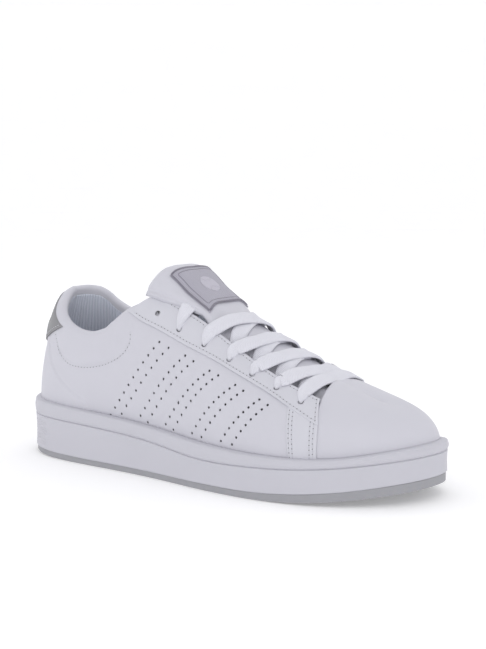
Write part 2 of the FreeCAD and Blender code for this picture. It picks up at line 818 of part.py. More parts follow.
def make_lace_end(side, name):
    """From the top laced eyelet over the eyestay, round its edge and down inside, ending in the aglet."""
    u, v = eyelets[1]
    throat = level_curve(throat_points)
    deep = lace_under - cell("lace_thickness") - 0.4
    middle_layer = (lace_over + deep) / 2
    radius = (lace_over - deep) / 2
    edge, normal = seat(u, throat(u), side, middle_layer)
    ahead = seat(u + 0.05, throat(u + 0.05), side, middle_layer)[0]
    rise = normal.cross(ahead - edge).normalize()
    if rise.z < 0:
        rise = rise * -1
    start_point, start_normal = seat(u, v, side, lace_over)
    points, facing = [start_point], [start_normal]
    for angle in (0, 45, 90, 135, 180):
        spoke = normal * math.cos(math.radians(angle)) + rise * math.sin(math.radians(angle))
        points.append(edge + spoke * radius)
        facing.append(spoke)
    end_point, end_normal = seat(u + 0.02, v + 0.01, side, deep)
    points.append(end_point)
    facing.append(end_normal * -1)
    add_shape("lace_end_" + name, strap(points, facing, "lace_end_" + name))
    tip_point = seat(u + 0.04, v - 0.2, side, deep - 0.6)[0]
    direction = (tip_point - end_point).normalize()
    aglet = Part.makeCylinder(
        cell("aglet_diameter") / 2, cell("aglet_length"), end_point + direction * (15 * play), direction)
    add_shape("aglet_" + name, aglet)


def make_lace_turns(side, name):
    """The short bunched stretch of lace inside each eyelet hole."""
    turns = []
    radius = cell("eyelet_hole") / 2 - 0.3
    clear = 8 * play
    for u, v in eyelets[1:]:
        station = side_station(u, side)
        normal = upper_normal(station, v)
        top = lace_over - lace_half - clear
        bottom = lace_under + lace_half + clear
        base = upper_point(station, v, 0) + normal * bottom
        turns.append(Part.makeCylinder(radius, top - bottom, base, normal))
    add_shape("lace_turns_" + name, Part.Compound(turns))


make_front()
make_back()
make_side(-1, "outer")
make_side(1, "inner")
print("upper done")
tongue_skin = make_lower_tongue()
make_tongue_tip()
print("tongue done")
make_lace()
doc.recompute()

for item in doc.Objects:
    bad = [state for state in item.State if state in ("Invalid", "Error")]
    assert not bad, "%s is %s" % (item.Name, bad)
os.makedirs("parts", exist_ok=True)
for node in nodes:
    shape = node.Shape
    assert not shape.isNull(), node.Label + " is empty"
    assert shape.isValid(), node.Label + " is not valid"
    shape.exportStep("parts/%s.step" % node.Label)
    box = shape.BoundBox
    print("%-20s %9.0f mm3  x %6.1f %6.1f  y %6.1f %6.1f  z %6.1f %6.1f" % (
        node.Label, shape.Volume, box.XMin, box.XMax, box.YMin, box.YMax, box.ZMin, box.ZMax))
print("%d nodes" % len(nodes))
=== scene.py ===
import math
import bmesh
import bpy
import numpy as np
from mathutils import Matrix, Vector


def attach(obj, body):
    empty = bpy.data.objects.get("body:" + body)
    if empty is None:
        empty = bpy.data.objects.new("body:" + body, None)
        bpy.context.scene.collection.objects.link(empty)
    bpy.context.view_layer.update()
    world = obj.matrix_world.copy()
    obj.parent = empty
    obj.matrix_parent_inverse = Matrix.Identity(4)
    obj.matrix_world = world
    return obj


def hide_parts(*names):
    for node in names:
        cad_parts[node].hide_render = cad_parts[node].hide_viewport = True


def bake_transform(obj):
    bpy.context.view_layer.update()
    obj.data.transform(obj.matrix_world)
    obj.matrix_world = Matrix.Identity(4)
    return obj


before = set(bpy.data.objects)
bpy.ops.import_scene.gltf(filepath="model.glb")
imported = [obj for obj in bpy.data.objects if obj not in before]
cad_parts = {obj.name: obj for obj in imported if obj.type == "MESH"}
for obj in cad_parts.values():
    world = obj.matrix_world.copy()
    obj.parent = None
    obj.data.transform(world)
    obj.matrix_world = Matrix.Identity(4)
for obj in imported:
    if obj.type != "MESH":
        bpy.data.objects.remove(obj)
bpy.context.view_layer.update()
print("frame loaded,", len(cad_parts), "nodes")

# camera first: long lens, a little shift for the framing
cameraSetup = {"place": (0.53065, -0.70955, 0.1982), "aim": (-0.00035, 0.00185, 0.05), "lens": 78.95, "shift": (0.03086, 0.10365)}
cameraData = bpy.data.cameras.new("shoeCamera")
cameraData.lens = cameraSetup["lens"]
cameraData.sensor_width = 36.0
cameraData.shift_x, cameraData.shift_y = cameraSetup["shift"]
cameraData.clip_start, cameraData.clip_end = 0.01, 20.0
camera = bpy.data.objects.new("shoeCamera", cameraData)
camera.location = cameraSetup["place"]
camera.rotation_mode = "QUATERNION"
camera.rotation_quaternion = (Vector(cameraSetup["aim"]) - camera.location).to_track_quat("-Z", "Y")
bpy.context.scene.collection.objects.link(camera)
bpy.context.scene.camera = camera

# the upper's own surface: four rows of poles at twenty stations, in mm, moved to the frame by one offset
upperNet = {
    "offset": (-150.35, 1.85, 0.0),
    "outline": [(303, 9), (295, -17), (273, -38), (244, -53), (208, -57), (172, -54.5), (136, -47.5), (98, -44), (56, -43), (15, -37),
                (-6.5, 0), (15, 37), (56, 42), (98, 37), (136, 36), (172, 42), (208, 52), (244, 53), (273, 47), (294, 34)],
    "edgeHeight": [20, 19, 16, 14, 13.5, 14, 16, 19, 21, 22, 22],
    "wallHeight": [36, 38, 41, 45, 52, 62, 72, 70, 64, 58, 54],
    "wallInset": [0, 0.5, 1.2, 0.8, 0.5, 1.8, 2.8, 2.2, 1.0, 0.5, 0.8],
    "edgeInset": 5.6,
    "shoulder": [(293, 9, 49), (284, -10, 54), (265, -24, 59.5), (240, -27, 68), (207, -27, 80), (171, -26, 100),
                 (134, -30, 118), (96, -34, 108), (58, -33, 96), (26, -22, 92), (2, 0, 84)],
    "ridge": [(264, 4, 54.5), (260, 3, 56), (252, 2, 60), (234, 1, 66), (207, 0, 74), (171, 0, 94),
              (134, 0, 117), (98, -20, 128), (62, -27, 126), (30, -17, 124), (24, 0, 122)],
    "toeBulge": {0: (22, 6), 1: (22, 6), 2: (8, 4), 3: (2, 2)},
    "shoulderRise": [.75, .75, .85, .85, .8, .7, .5, .1, 0, 0, 0],
    "ridgeRise": [1, 1, 1, 1, 1, 1, .95, .3, 0, 0, 0],
}
offset = np.array(upperNet["offset"])
outlinePoles = np.array(upperNet["outline"], float)
chord = np.roll(outlinePoles, -1, 0) - np.roll(outlinePoles, 1, 0)
outlineNormals = np.stack([chord[:, 1], -chord[:, 0]], 1)
outlineNormals /= np.linalg.norm(outlineNormals, axis=1)[:, None]
outlineNormals *= np.sign(((outlinePoles - [150, 0]) * outlineNormals).sum(1))[:, None]


def makeNet(net):
    # poles and layer directions of every station: lasting edge, wall, shoulder, ridge
    poles, ways = np.zeros((20, 4, 3)), np.zeros((20, 4, 3))
    for i in range(20):
        k, side = (i, 1) if i <= 10 else (20 - i, -1)
        flat = np.append(outlineNormals[i], 0)
        bulge = net["toeBulge"].get(k, (0, 0)) if side < 0 else (0, 0)
        poles[i, 0] = np.append(outlinePoles[i], net["edgeHeight"][k]) - flat * net["edgeInset"]
        poles[i, 1] = np.append(outlinePoles[i], net["wallHeight"][k]) - flat * net["wallInset"][k]
        poles[i, 2] = np.array(net["shoulder"][k]) * [1, side, 1] + [0, bulge[0], 0]
        poles[i, 3] = np.array(net["ridge"][k]) * [1, side, 1] + [0, bulge[1], 0]
        ways[i, 0] = ways[i, 1] = flat
        for row, rise in ((2, net["shoulderRise"][k]), (3, net["ridgeRise"][k])):
            ways[i, row] = flat * math.sqrt(1 - rise * rise) + [0, 0, rise]
    return poles + offset, ways


netPoles, netWays = makeNet(upperNet)


def alongWeights(f):
    # uniform cubic B-spline weights of the four nearest stations
    return np.stack([(1 - f) ** 3, 3 * f ** 3 - 6 * f * f + 4, -3 * f ** 3 + 3 * f * f + 3 * f + 1, f ** 3], -1) / 6


def upperAt(u, v, layer=0.0):
    # B-spline round the shoe in u, cubic Bezier up the side in v, each pole first moved by layer along its own direction
    u, v, layer = np.broadcast_arrays(np.asarray(u, float), v, layer)
    first = np.floor(u).astype(int)
    along = alongWeights(u - first)
    up = np.stack([(1 - v) ** 3, 3 * v * (1 - v) ** 2, 3 * v * v * (1 - v), v ** 3], -1)
    points = np.zeros(u.shape + (3,))
    for i in range(4):
        ring = (first + i - 1) % 20
        for j in range(4):
            points += (along[..., i] * up[..., j])[..., None] * (netPoles[ring, j] + netWays[ring, j] * layer[..., None])
    return points


def unit(a):
    return a / np.maximum(np.linalg.norm(a, axis=-1, keepdims=True), 1e-9)


def upperNormal(u, v):
    # cross product of the steps up and along the surface
    along = upperAt(u + 0.01, v) - upperAt(u - 0.01, v)
    rise = upperAt(u, v + 0.01) - upperAt(u, v - 0.01)
    return unit(np.cross(rise, along))


def perHeight(u, v):
    # millimetres of surface for one unit of v
    return np.linalg.norm(upperAt(u, v + 0.01) - upperAt(u, v - 0.01), axis=-1) / 0.02


def outlineAt(u, inset):
    # the sole's outline at station u, poles moved inwards by inset; gives x and y
    u = np.asarray(u, float)
    first = np.floor(u).astype(int)
    along = alongWeights(u - first)
    inset = np.broadcast_to(inset, u.shape)
    points = np.zeros(u.shape + (2,))
    for i in range(4):
        ring = (first + i - 1) % 20
        points += along[..., i, None] * (outlinePoles[ring] - outlineNormals[ring] * inset[..., None])
    return points + offset[:2]


def levelLine(points, monotone=True):
    # smooth height over a coordinate: cubic pieces whose slopes are the harmonic mean of the neighbours'
    p = np.array(sorted(points), float)
    x, y = p[:, 0], p[:, 1]
    step = np.diff(y) / np.diff(x)
    inner = np.where(step[:-1] * step[1:] <= 0, 0.0, 2 * step[:-1] * step[1:] / np.where(step[:-1] + step[1:] == 0, 1, step[:-1] + step[1:]))
    if not monotone:
        inner = (step[:-1] + step[1:]) / 2
    slope = np.concatenate([[step[0]], inner, [step[-1]]])

    def height(at):
        at = np.asarray(at, float)
        i = np.clip(np.searchsorted(x, at, side="right") - 1, 0, len(x) - 2)
        width = x[i + 1] - x[i]
        f = np.clip((at - x[i]) / width, 0, 1)
        value = y[i] * (1 + 2 * f) * (1 - f) ** 2 + y[i + 1] * f * f * (3 - 2 * f)
        return value + width * f * (1 - f) * (slope[i] * (1 - f) - slope[i + 1] * f)

    return height


def ease(a, b, x):
    # smooth step from 0 at a to 1 at b
    t = np.clip((x - a) / (b - a), 0, 1)
    return t * t * (3 - 2 * t)


def throughPoints(points, count, even=True):
    # Catmull-Rom curve through the points along axis 0, resampled evenly by length or by knot
    p = np.asarray(points, float)
    ends = np.concatenate([2 * p[:1] - p[1:2], p, 2 * p[-1:] - p[-2:-1]])
    t = np.linspace(0, len(p) - 1, max(count * 6, 60) if even else count)

    def curve(t):
        i = np.clip(np.floor(t).astype(int), 0, len(p) - 2)
        f = (t - i).reshape((-1,) + (1,) * (p.ndim - 1))
        a, b, c, d = ends[i], ends[i + 1], ends[i + 2], ends[i + 3]
        return 0.5 * (2 * b + (c - a) * f + (2 * a - 5 * b + 4 * c - d) * f ** 2 + (3 * b - a - 3 * c + d) * f ** 3)

    if not even:
        return curve(t)
    flat = curve(t).reshape(len(t), -1)
    run = np.concatenate([[0], np.cumsum(np.linalg.norm(np.diff(flat, axis=0), axis=1))])
    return curve(np.interp(np.linspace(0, run[-1], count), run, t))


def gridFaces(rows, columns, wrapRows=False, wrapColumns=False):
    # quads of a grid of points in row order, wrapped where it closes
    r = np.arange(rows if wrapRows else rows - 1)[:, None]
    c = np.arange(columns if wrapColumns else columns - 1)[None, :]
    r2, c2 = (r + 1) % rows, (c + 1) % columns
    return np.stack([r * columns + c, r * columns + c2, r2 * columns + c2, r2 * columns + c], -1).reshape(-1, 4)


def addPiece(name, points, faces, looks, nodes=(), slot=None, body="shoe", uv=None, recessShade=None, faceLook=None, weld=False, extraFaces=()):
    # a mesh from millimetre points; its faces are turned outwards, and it rides on a body
    mesh = bpy.data.meshes.new(name)
    allFaces = np.asarray(faces).tolist() + [list(f) for f in extraFaces]
    mesh.from_pydata((np.asarray(points).reshape(-1, 3) * 0.001).tolist(), [], allFaces)
    for look in looks:
        mesh.materials.append(look)
    if faceLook is not None:
        mesh.polygons.foreach_set("material_index", np.asarray(faceLook, np.int32))
    corner = np.zeros(len(mesh.loops), np.int32)
    mesh.loops.foreach_get("vertex_index", corner)
    if uv is not None:
        layer = mesh.uv_layers.new(name="laid")
        layer.data.foreach_set("uv", np.asarray(uv, np.float32).reshape(-1, 2)[corner].ravel())
    if recessShade is not None:
        mesh.attributes.new("recessShade", "FLOAT", "POINT").data.foreach_set("value", np.asarray(recessShade, np.float32).ravel())
    shape = bmesh.new()
    shape.from_mesh(mesh)
    if weld:
        bmesh.ops.remove_doubles(shape, verts=shape.verts, dist=2e-6)
    bmesh.ops.recalc_face_normals(shape, faces=shape.faces)
    shape.to_mesh(mesh)
    shape.free()
    mesh.shade_smooth()
    piece = bpy.data.objects.new(name, mesh)
    bpy.context.scene.collection.objects.link(piece)
    if nodes:
        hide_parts(*nodes)
    if body:
        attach(piece, body)
    return piece


def edgeSteps(count, width, radius=0.6):
    # places from 0 to 1 across a sheet of that width, close together at both edges so that they can be rounded
    near = np.array([0, 0.1, 0.3, 0.6, 1.0]) * radius / width
    far = 1.6 * radius / width
    return np.concatenate([near, np.linspace(far, 1 - far, count), 1 - near[::-1]])


def roundOff(outer, inner, radius):
    # the two faces of a sheet meet at its edges along quarter circles
    def fromEdge(a, axis):
        step = np.linalg.norm(np.diff(a, axis=axis), axis=-1)
        run = np.concatenate([np.zeros_like(np.take(step, [0], axis)), np.cumsum(step, axis)], axis)
        return np.minimum(run, np.take(run, [-1], axis) - run)

    near = np.minimum(fromEdge(outer, 0), fromEdge(outer, 1))
    w = (1 - np.sqrt(np.clip(1 - np.clip(1 - near / radius, 0, 1) ** 2, 0, 1)))[..., None] * 0.5
    return outer + (inner - outer) * w, inner + (outer - inner) * w


def sheetPiece(name, outer, inner, looks, radius=0.5, recessShade=None, uv=None, backLook=None, **more):
    # closed sheet from an outer and an inner grid of points, rounded along its borders
    outer, inner = roundOff(outer, inner, radius) if radius else (outer, inner)
    rows, columns = outer.shape[:2]
    ring = np.concatenate([outer, inner[:, ::-1]], 1)
    faces = gridFaces(rows, columns * 2, wrapColumns=True)
    j = np.arange(columns - 1)
    caps = []
    for base, turn in ((0, 1), ((rows - 1) * columns * 2, -1)):
        cap = np.stack([base + j, base + 2 * columns - 1 - j, base + 2 * columns - 2 - j, base + j + 1], 1)
        caps.append(cap[:, ::turn])
    faceLook = None
    if backLook is not None:
        strip = np.where((np.arange(columns * 2) >= columns) & (np.arange(columns * 2) < 2 * columns - 1), backLook, 0)
        faceLook = np.concatenate([np.tile(strip, rows - 1), np.zeros(2 * (columns - 1), int)])
    both = lambda a: None if a is None else np.concatenate([a, a[:, ::-1]], 1)
    front = None if recessShade is None else np.concatenate([recessShade, np.zeros_like(recessShade)], 1)
    return addPiece(name, ring, np.concatenate([faces] + caps), looks, recessShade=front, uv=both(uv), faceLook=faceLook, **more)


def punch(points, normals, centres, radius, depth, step):
    # round holes in a fine grid: points near a rim move on to it, points inside drop by depth; gives the points and the
    # painted shade inside each hole
    points, holeShade = points.copy(), np.zeros(points.shape[:-1])
    for centre in centres:
        gap = points - centre
        away = np.linalg.norm(gap, axis=-1)
        rim = np.abs(away - radius) < step * 0.55
        points[rim] = (centre + gap / np.maximum(away, 1e-6)[..., None] * radius)[rim]
        inside = (away < radius) & ~rim
        points[inside] -= (normals * depth)[inside]
        # painted shade: the inside of the hole is marked to be drawn dark
        holeShade[inside] = 1
    return points, holeShade


# ------------------------------------------------------------ finishes
def addNode(tree, kind, inputs=None, **settings):
    made = tree.nodes.new(kind)
    for key, value in settings.items():
        setattr(made, key, value)
    for key, value in (inputs or {}).items():
        if isinstance(value, bpy.types.NodeSocket):
            tree.links.new(value, made.inputs[key])
        else:
            made.inputs[key].default_value = value
    return made


def mixColour(tree, factor, a, b):
    made = addNode(tree, "ShaderNodeMix", data_type="RGBA")
    for socket, value in ((made.inputs[0], factor), (made.inputs[6], a), (made.inputs[7], b)):
        if isinstance(value, bpy.types.NodeSocket):
            tree.links.new(value, socket)
        else:
            socket.default_value = value
    return made.outputs[2]


def math1(tree, operation, a, b=0.0, c=0.0):
    return addNode(tree, "ShaderNodeMath", {0: a, 1: b, 2: c}, operation=operation).outputs[0]


def startFinish(name, roughness, **principled):
    look = bpy.data.materials.new(name)
    look.use_nodes = True
    tree = look.node_tree
    shader = tree.nodes["Principled BSDF"]
    shader.inputs["Roughness"].default_value = roughness
    for key, value in principled.items():
        shader.inputs[key.replace("_", " ")].default_value = value
    place = tree.nodes.new("ShaderNodeTexCoord")
    return look, tree, shader, place


def rgb(r, g, b):
    return (r, g, b, 1.0)


def bumpInto(tree, shader, height, strength, distance):
    bump = addNode(tree, "ShaderNodeBump", {"Height": height, "Strength": strength, "Distance": distance})
    tree.links.new(bump.outputs["Normal"], shader.inputs["Normal"])


def leatherFinish(name, colour, darker, roughness=0.5, grain=1500, depth=0.00006, strength=0.5, holeShadeColour=(0.05, 0.05, 0.055)):
    # pebbled grain from cells, softened by noise; slow colour drift; holes and needle holes are darkened with painted
    # shade, driven by a per-point attribute
    look, tree, shader, place = startFinish(name, roughness, Coat_Weight=0.06, Coat_Roughness=0.45, Specular_IOR_Level=0.42)
    spot = place.outputs["Object"]
    cells = addNode(tree, "ShaderNodeTexVoronoi", {"Vector": spot, "Scale": grain, "Randomness": 1.0}, feature="SMOOTH_F1")
    fine = addNode(tree, "ShaderNodeTexNoise", {"Vector": spot, "Scale": grain * 1.7, "Detail": 3.0, "Roughness": 0.6})
    slow = addNode(tree, "ShaderNodeTexNoise", {"Vector": spot, "Scale": 28.0, "Detail": 3.0, "Roughness": 0.55})
    pores = math1(tree, "MULTIPLY_ADD", fine.outputs[0], 0.45, cells.outputs["Distance"])
    bumpInto(tree, shader, pores, strength, depth)
    base = mixColour(tree, slow.outputs[0], rgb(*colour), rgb(*darker))
    recessShade = addNode(tree, "ShaderNodeAttribute", attribute_name="recessShade")
    # painted shade: the attribute mixes the base colour towards the dark hole colour
    holeShadeMask = math1(tree, "MINIMUM", math1(tree, "MULTIPLY", recessShade.outputs["Fac"], 3.0), 1.0)
    tree.links.new(mixColour(tree, holeShadeMask, base, rgb(*holeShadeColour)), shader.inputs["Base Color"])
    shine = math1(tree, "MULTIPLY_ADD", slow.outputs[0], 0.14, roughness - 0.07)
    tree.links.new(shine, shader.inputs["Roughness"])
    return look


def rubberFinish(name, colour, darker, roughness, treadPattern=False):
    # matt skin from fine noise, slight marbling; the tread adds a chevron relief underneath, with painted shade in its
    # valleys
    look, tree, shader, place = startFinish(name, roughness, Specular_IOR_Level=0.4)
    spot = place.outputs["Object"]
    fine = addNode(tree, "ShaderNodeTexNoise", {"Vector": spot, "Scale": 2600.0, "Detail": 2.0})
    slow = addNode(tree, "ShaderNodeTexNoise", {"Vector": spot, "Scale": 40.0, "Detail": 4.0, "Roughness": 0.6})
    colourNow = mixColour(tree, slow.outputs[0], rgb(*colour), rgb(*darker))
    height = fine.outputs[0]
    if treadPattern:
        # rows of chevrons: a wave along the sole, bent by how far the point is across its row
        axes = addNode(tree, "ShaderNodeSeparateXYZ", {0: spot})
        bend = math1(tree, "PINGPONG", axes.outputs[1], 0.009)
        wave = math1(tree, "SINE", math1(tree, "MULTIPLY", math1(tree, "ADD", axes.outputs[0], bend), 2 * math.pi / 0.0048))
        ridge = math1(tree, "MINIMUM", math1(tree, "MAXIMUM", math1(tree, "MULTIPLY", wave, 2.5), -1.0), 1.0)
        facing = addNode(tree, "ShaderNodeSeparateXYZ", {0: addNode(tree, "ShaderNodeNewGeometry").outputs["True Normal"]})
        under = math1(tree, "LESS_THAN", facing.outputs[2], -0.75)
        height = math1(tree, "MULTIPLY_ADD", math1(tree, "MULTIPLY", ridge, under), 6.0, fine.outputs[0])
        # painted shade: the chevron valleys on the underside are mixed towards a darker colour
        valleyShade = math1(tree, "MULTIPLY", math1(tree, "LESS_THAN", ridge, -0.2), math1(tree, "MULTIPLY", under, 0.45))
        colourNow = mixColour(tree, valleyShade, colourNow, rgb(*[c * 0.55 for c in darker]))
    bumpInto(tree, shader, height, 0.5, 0.00006)
    tree.links.new(colourNow, shader.inputs["Base Color"])
    return look


def clothFinish(name, colour, valleyShade, across=2.2, along=1.1, roughness=0.85, chevron=False, depth=0.0003):
    # knit or weave on the piece's own layout, whose unit is 10 mm: ribs one way, yarns the other; chevrons mirror about
    # the middle; the dips of the knit get painted shade
    look, tree, shader, place = startFinish(name, roughness, Sheen_Weight=0.25, Sheen_Roughness=0.5, Specular_IOR_Level=0.25)
    axes = addNode(tree, "ShaderNodeSeparateXYZ", {0: place.outputs["UV"]})
    first, second = axes.outputs[0], axes.outputs[1]
    if chevron:
        first = math1(tree, "MULTIPLY_ADD", math1(tree, "ABSOLUTE", second), 0.8, first)
    ribs = math1(tree, "SINE", math1(tree, "MULTIPLY", first, 20 * math.pi / across))
    yarns = math1(tree, "SINE", math1(tree, "MULTIPLY", second, 20 * math.pi / along))
    knots = math1(tree, "MULTIPLY_ADD", math1(tree, "MULTIPLY", ribs, yarns), 0.35, ribs)
    fuzz = addNode(tree, "ShaderNodeTexNoise", {"Vector": place.outputs["Object"], "Scale": 3200.0, "Detail": 2.0})
    height = math1(tree, "MULTIPLY_ADD", fuzz.outputs[0], 0.5, knots)
    bumpInto(tree, shader, height, 0.6, depth)
    # painted shade: where the knit dips, the colour is mixed towards the valley colour
    valleyShadeMix = math1(tree, "MULTIPLY_ADD", knots, -0.28, 0.4)
    valleyShadeFactor = math1(tree, "MINIMUM", math1(tree, "MAXIMUM", valleyShadeMix, 0.0), 1.0)
    tree.links.new(mixColour(tree, valleyShadeFactor, rgb(*colour), rgb(*valleyShade)), shader.inputs["Base Color"])
    return look


def plainFinish(name, colour, darker, roughness, scale=900.0, **more):
    look, tree, shader, place = startFinish(name, roughness, **more)
    grit = addNode(tree, "ShaderNodeTexNoise", {"Vector": place.outputs["Object"], "Scale": scale, "Detail": 4.0})
    bumpInto(tree, shader, grit.outputs[0], 0.4, 0.0002)
    tree.links.new(mixColour(tree, grit.outputs[0], rgb(*colour), rgb(*darker)), shader.inputs["Base Color"])
    return look


whiteLeather = leatherFinish("whiteLeather", (0.624, 0.620, 0.677), (0.597, 0.593, 0.648))
overlayLeather = leatherFinish("overlayLeather", (0.636, 0.636, 0.690), (0.612, 0.612, 0.664), roughness=0.46)
softLeather = leatherFinish("softLeather", (0.624, 0.620, 0.677), (0.601, 0.597, 0.652), roughness=0.55, grain=1100, strength=0.6)
greyLeather = leatherFinish("greyLeather", (0.27, 0.27, 0.28), (0.235, 0.235, 0.245), roughness=0.52, grain=1300)
cupRubber = rubberFinish("cupRubber", (0.577, 0.573, 0.626), (0.554, 0.550, 0.601), 0.55)
soleRubber = rubberFinish("soleRubber", (0.367, 0.367, 0.390), (0.335, 0.335, 0.359), 0.62, treadPattern=True)
liningMesh = clothFinish("liningMesh", (0.74, 0.77, 0.86), (0.52, 0.55, 0.64), depth=0.00024)
sockCloth = clothFinish("sockCloth", (0.530, 0.538, 0.569), (0.390, 0.398, 0.437), across=1.4, along=1.4)
laceWeave = clothFinish("laceWeave", (0.79, 0.79, 0.855), (0.69, 0.69, 0.75), across=1.1, along=0.9, chevron=True, depth=0.00014)
badgeCloth = clothFinish("badgeCloth", (0.50, 0.485, 0.56), (0.36, 0.35, 0.41), across=0.9, along=0.9, depth=0.0002)
badgeThread = clothFinish("badgeThread", (0.30, 0.285, 0.34), (0.17, 0.16, 0.20), across=0.8, along=30.0, depth=0.0003)
badgeMotif = clothFinish("badgeMotif", (0.66, 0.64, 0.72), (0.48, 0.46, 0.54), across=0.8, along=0.8, depth=0.0002)
# this finish also colours the needle-hole beads, whose dark colour is painted shade
whiteThread = leatherFinish("whiteThread", (0.624, 0.624, 0.677), (0.577, 0.577, 0.626), roughness=0.7, grain=4000, holeShadeColour=(0.156, 0.156, 0.169))
foamFinish = plainFinish("foamFinish", (0.624, 0.624, 0.593), (0.515, 0.515, 0.491), 0.9)
boardFinish = plainFinish("boardFinish", (0.593, 0.585, 0.546), (0.484, 0.476, 0.445), 0.85, scale=1500.0)
tipPlastic = plainFinish("tipPlastic", (0.640, 0.640, 0.663), (0.593, 0.593, 0.624), 0.25, scale=500.0, Coat_Weight=0.4)
print("finishes ready")

for nodeName, finish in (("outsole", soleRubber), ("midsole_foam", foamFinish), ("strobel_board", boardFinish), ("toe_puff", boardFinish),
                         ("heel_counter", boardFinish), ("aglet_outer", tipPlastic), ("aglet_inner", tipPlastic)):
    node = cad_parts[nodeName]
    node.data.materials.clear()
    node.data.materials.append(finish)

# ------------------------------------------------------------ cupsole
cupSettings = {
    "profileX": [0, 60, 120, 170, 220, 260, 300],
    "top": [37, 35.4, 32, 27.8, 26, 27.4, 33.8],
    "bottom": [4.6, 3.5, 3.4, 3.6, 4.6, 8.2, 14.5],
    "groove": [26.8, 26.1, 23.3, 18.5, 19.4, 22.4, 27.9],
    "floor": [9.6, 8.5, 8.4, 8.4, 9.2, 11.2, 16.5],
    "foam": [21.4, 20.3, 16.7, 13.8, 13.1, 14.5, 19.2],
    "ribPitch": 2.0, "ribDepth": 0.55, "ribStations": (8.62, 11.38),
    "oval": {"station": 8.72, "half": (9.5, 3.4), "rise": 0.3},
}


def sideLine(name):
    pairs = [(x + offset[0], z) for x, z in zip(cupSettings["profileX"], cupSettings[name])]
    return levelLine(pairs, monotone=False)


cupTop, cupBottom, cupGroove, cupFloor, foamTop = [sideLine(n) for n in ("top", "bottom", "groove", "floor", "foam")]


def makeCupsole(columns=760):
    # a wall section carried round the outline: lower band, groove, rounded bead, lip, then down inside and across the floor
    u = np.arange(columns) * 20.0 / columns
    base = outlineAt(u, 0.0)
    low, groove, high, floor = (f(np.clip(base[:, 0], offset[0], offset[0] + 300))[:, None] for f in (cupBottom, cupGroove, cupTop, cupFloor))
    band = np.linspace(0, 1, 40)[None, :]
    bandHeight = low + 0.9 + (groove - 0.55 - low - 0.9) * band
    bandIn = -0.0 + 0.35 * np.sin(np.pi * band) * np.ones_like(bandHeight)
    ribs = ease(*[cupSettings["ribStations"][0] - 0.02, cupSettings["ribStations"][0] + 0.02], u)[:, None]
    ribs = ribs * (1 - ease(cupSettings["ribStations"][1] - 0.02, cupSettings["ribStations"][1] + 0.02, u)[:, None])
    inRange = ease(0.05, 0.09, band) * (1 - ease(0.9, 0.94, band))
    bandIn = bandIn + ribs * inRange * cupSettings["ribDepth"] * (0.5 + 0.5 * np.sin(2 * np.pi * (bandHeight - low) / cupSettings["ribPitch"]))
    oval = cupSettings["oval"]
    for station in (oval["station"], 20 - oval["station"]):
        centre = outlineAt(np.array([station]), 0.0)[0]
        run = np.linalg.norm(base - centre, axis=1)[:, None]
        r = np.hypot(run / oval["half"][0], (bandHeight - (low + groove) / 2) / oval["half"][1])
        bandIn = bandIn - oval["rise"] * (ease(1.0, 0.9, r) - 0.6 * ease(0.78, 0.7, r))
    q = np.linspace(0, np.pi / 2, 5)[None, :]
    bead = np.linspace(0, 1, 9)[None, 1:]
    beadHigh = high - 1.3
    parts = [
        (6.0, low + 0.0 * q[:, :1]), (1.2, low), (0.75, low + 0.05), (0.3, low + 0.3), (0.08, low + 0.6), (bandIn, bandHeight),
        (0.12, groove - 0.38), (0.45, groove - 0.25), (0.85, groove - 0.08), (0.85, groove + 0.12), (0.4, groove + 0.3), (0.1, groove + 0.5),
        (-0.05 - 0.5 * np.sin(np.pi * bead), groove + 0.6 + (beadHigh - groove - 0.6) * bead),
        (1.5 - 1.6 * np.cos(q) + 0.05, beadHigh + 1.3 * np.sin(q)),
        (8.4, (high + floor) / 2), (8.6, floor + 0.4), (9.4, floor), (12.0, floor),
    ]
    insets = np.concatenate([np.broadcast_to(a, (columns, np.broadcast(a, b).shape[1])) for a, b in parts], 1)
    heights = np.concatenate([np.broadcast_to(b, (columns, np.broadcast(a, b).shape[1])) for a, b in parts], 1)
    flat = outlineAt(np.repeat(u[:, None], insets.shape[1], 1), insets)
    # the lip climbs from the bead to the leather and tucks in behind it
    v = np.linspace(0.0, 0.5, 120)
    climb = upperAt(u[:, None], v[None, :], 0.0)[..., 2]
    touch = np.array([np.interp(h + 0.5, z, v) for h, z in zip(high[:, 0], climb)])
    seamPoint, tucked = upperAt(u, touch, 0.15), upperAt(u, touch - 0.03, -0.9)
    crest = flat[:, -5]
    lip = np.stack([crest + (seamPoint[:, :2] - crest) * 0.5, seamPoint[:, :2], tucked[:, :2]], 1)
    lipHeight = np.stack([high[:, 0] + 0.15, seamPoint[:, 2], tucked[:, 2] - 1.0], 1)
    flat = np.concatenate([flat[:, :-4], lip, flat[:, -4:]], 1)
    heights = np.concatenate([heights[:, :-4], lipHeight, heights[:, -4:]], 1)
    # the bottom and the floor run on to the middle line in a few rings
    spine = np.stack([np.clip(base[:, 0], offset[0] + 48, offset[0] + 252), np.full(columns, offset[1])], 1)
    rings, levels = [flat], [heights]
    inner = flat[:, -1]
    for share in (0.35, 0.7, 1.0):
        ring = inner + (spine - inner) * share
        rings.append(ring[:, None])
        levels.append(np.clip(cupFloor(ring[:, 0]), 0, 60)[:, None])
    outerRing = flat[:, 0]
    for share in (1.0, 0.7, 0.35):
        ring = outerRing + (spine - outerRing) * share
        rings.append(ring[:, None])
        levels.append(cupBottom(ring[:, 0])[:, None])
    flat, heights = np.concatenate(rings, 1), np.concatenate(levels, 1)
    points = np.concatenate([flat, heights[..., None]], 2)
    uv = np.stack([np.repeat(u[:, None] * 3.6, points.shape[1], 1), heights / 10], 2)
    return addPiece("cupWall", points, gridFaces(columns, points.shape[1], True, True), [cupRubber], nodes=["cupsole"], slot="cup_rubber", uv=uv, weld=True)


makeCupsole()
print("cupsole made")

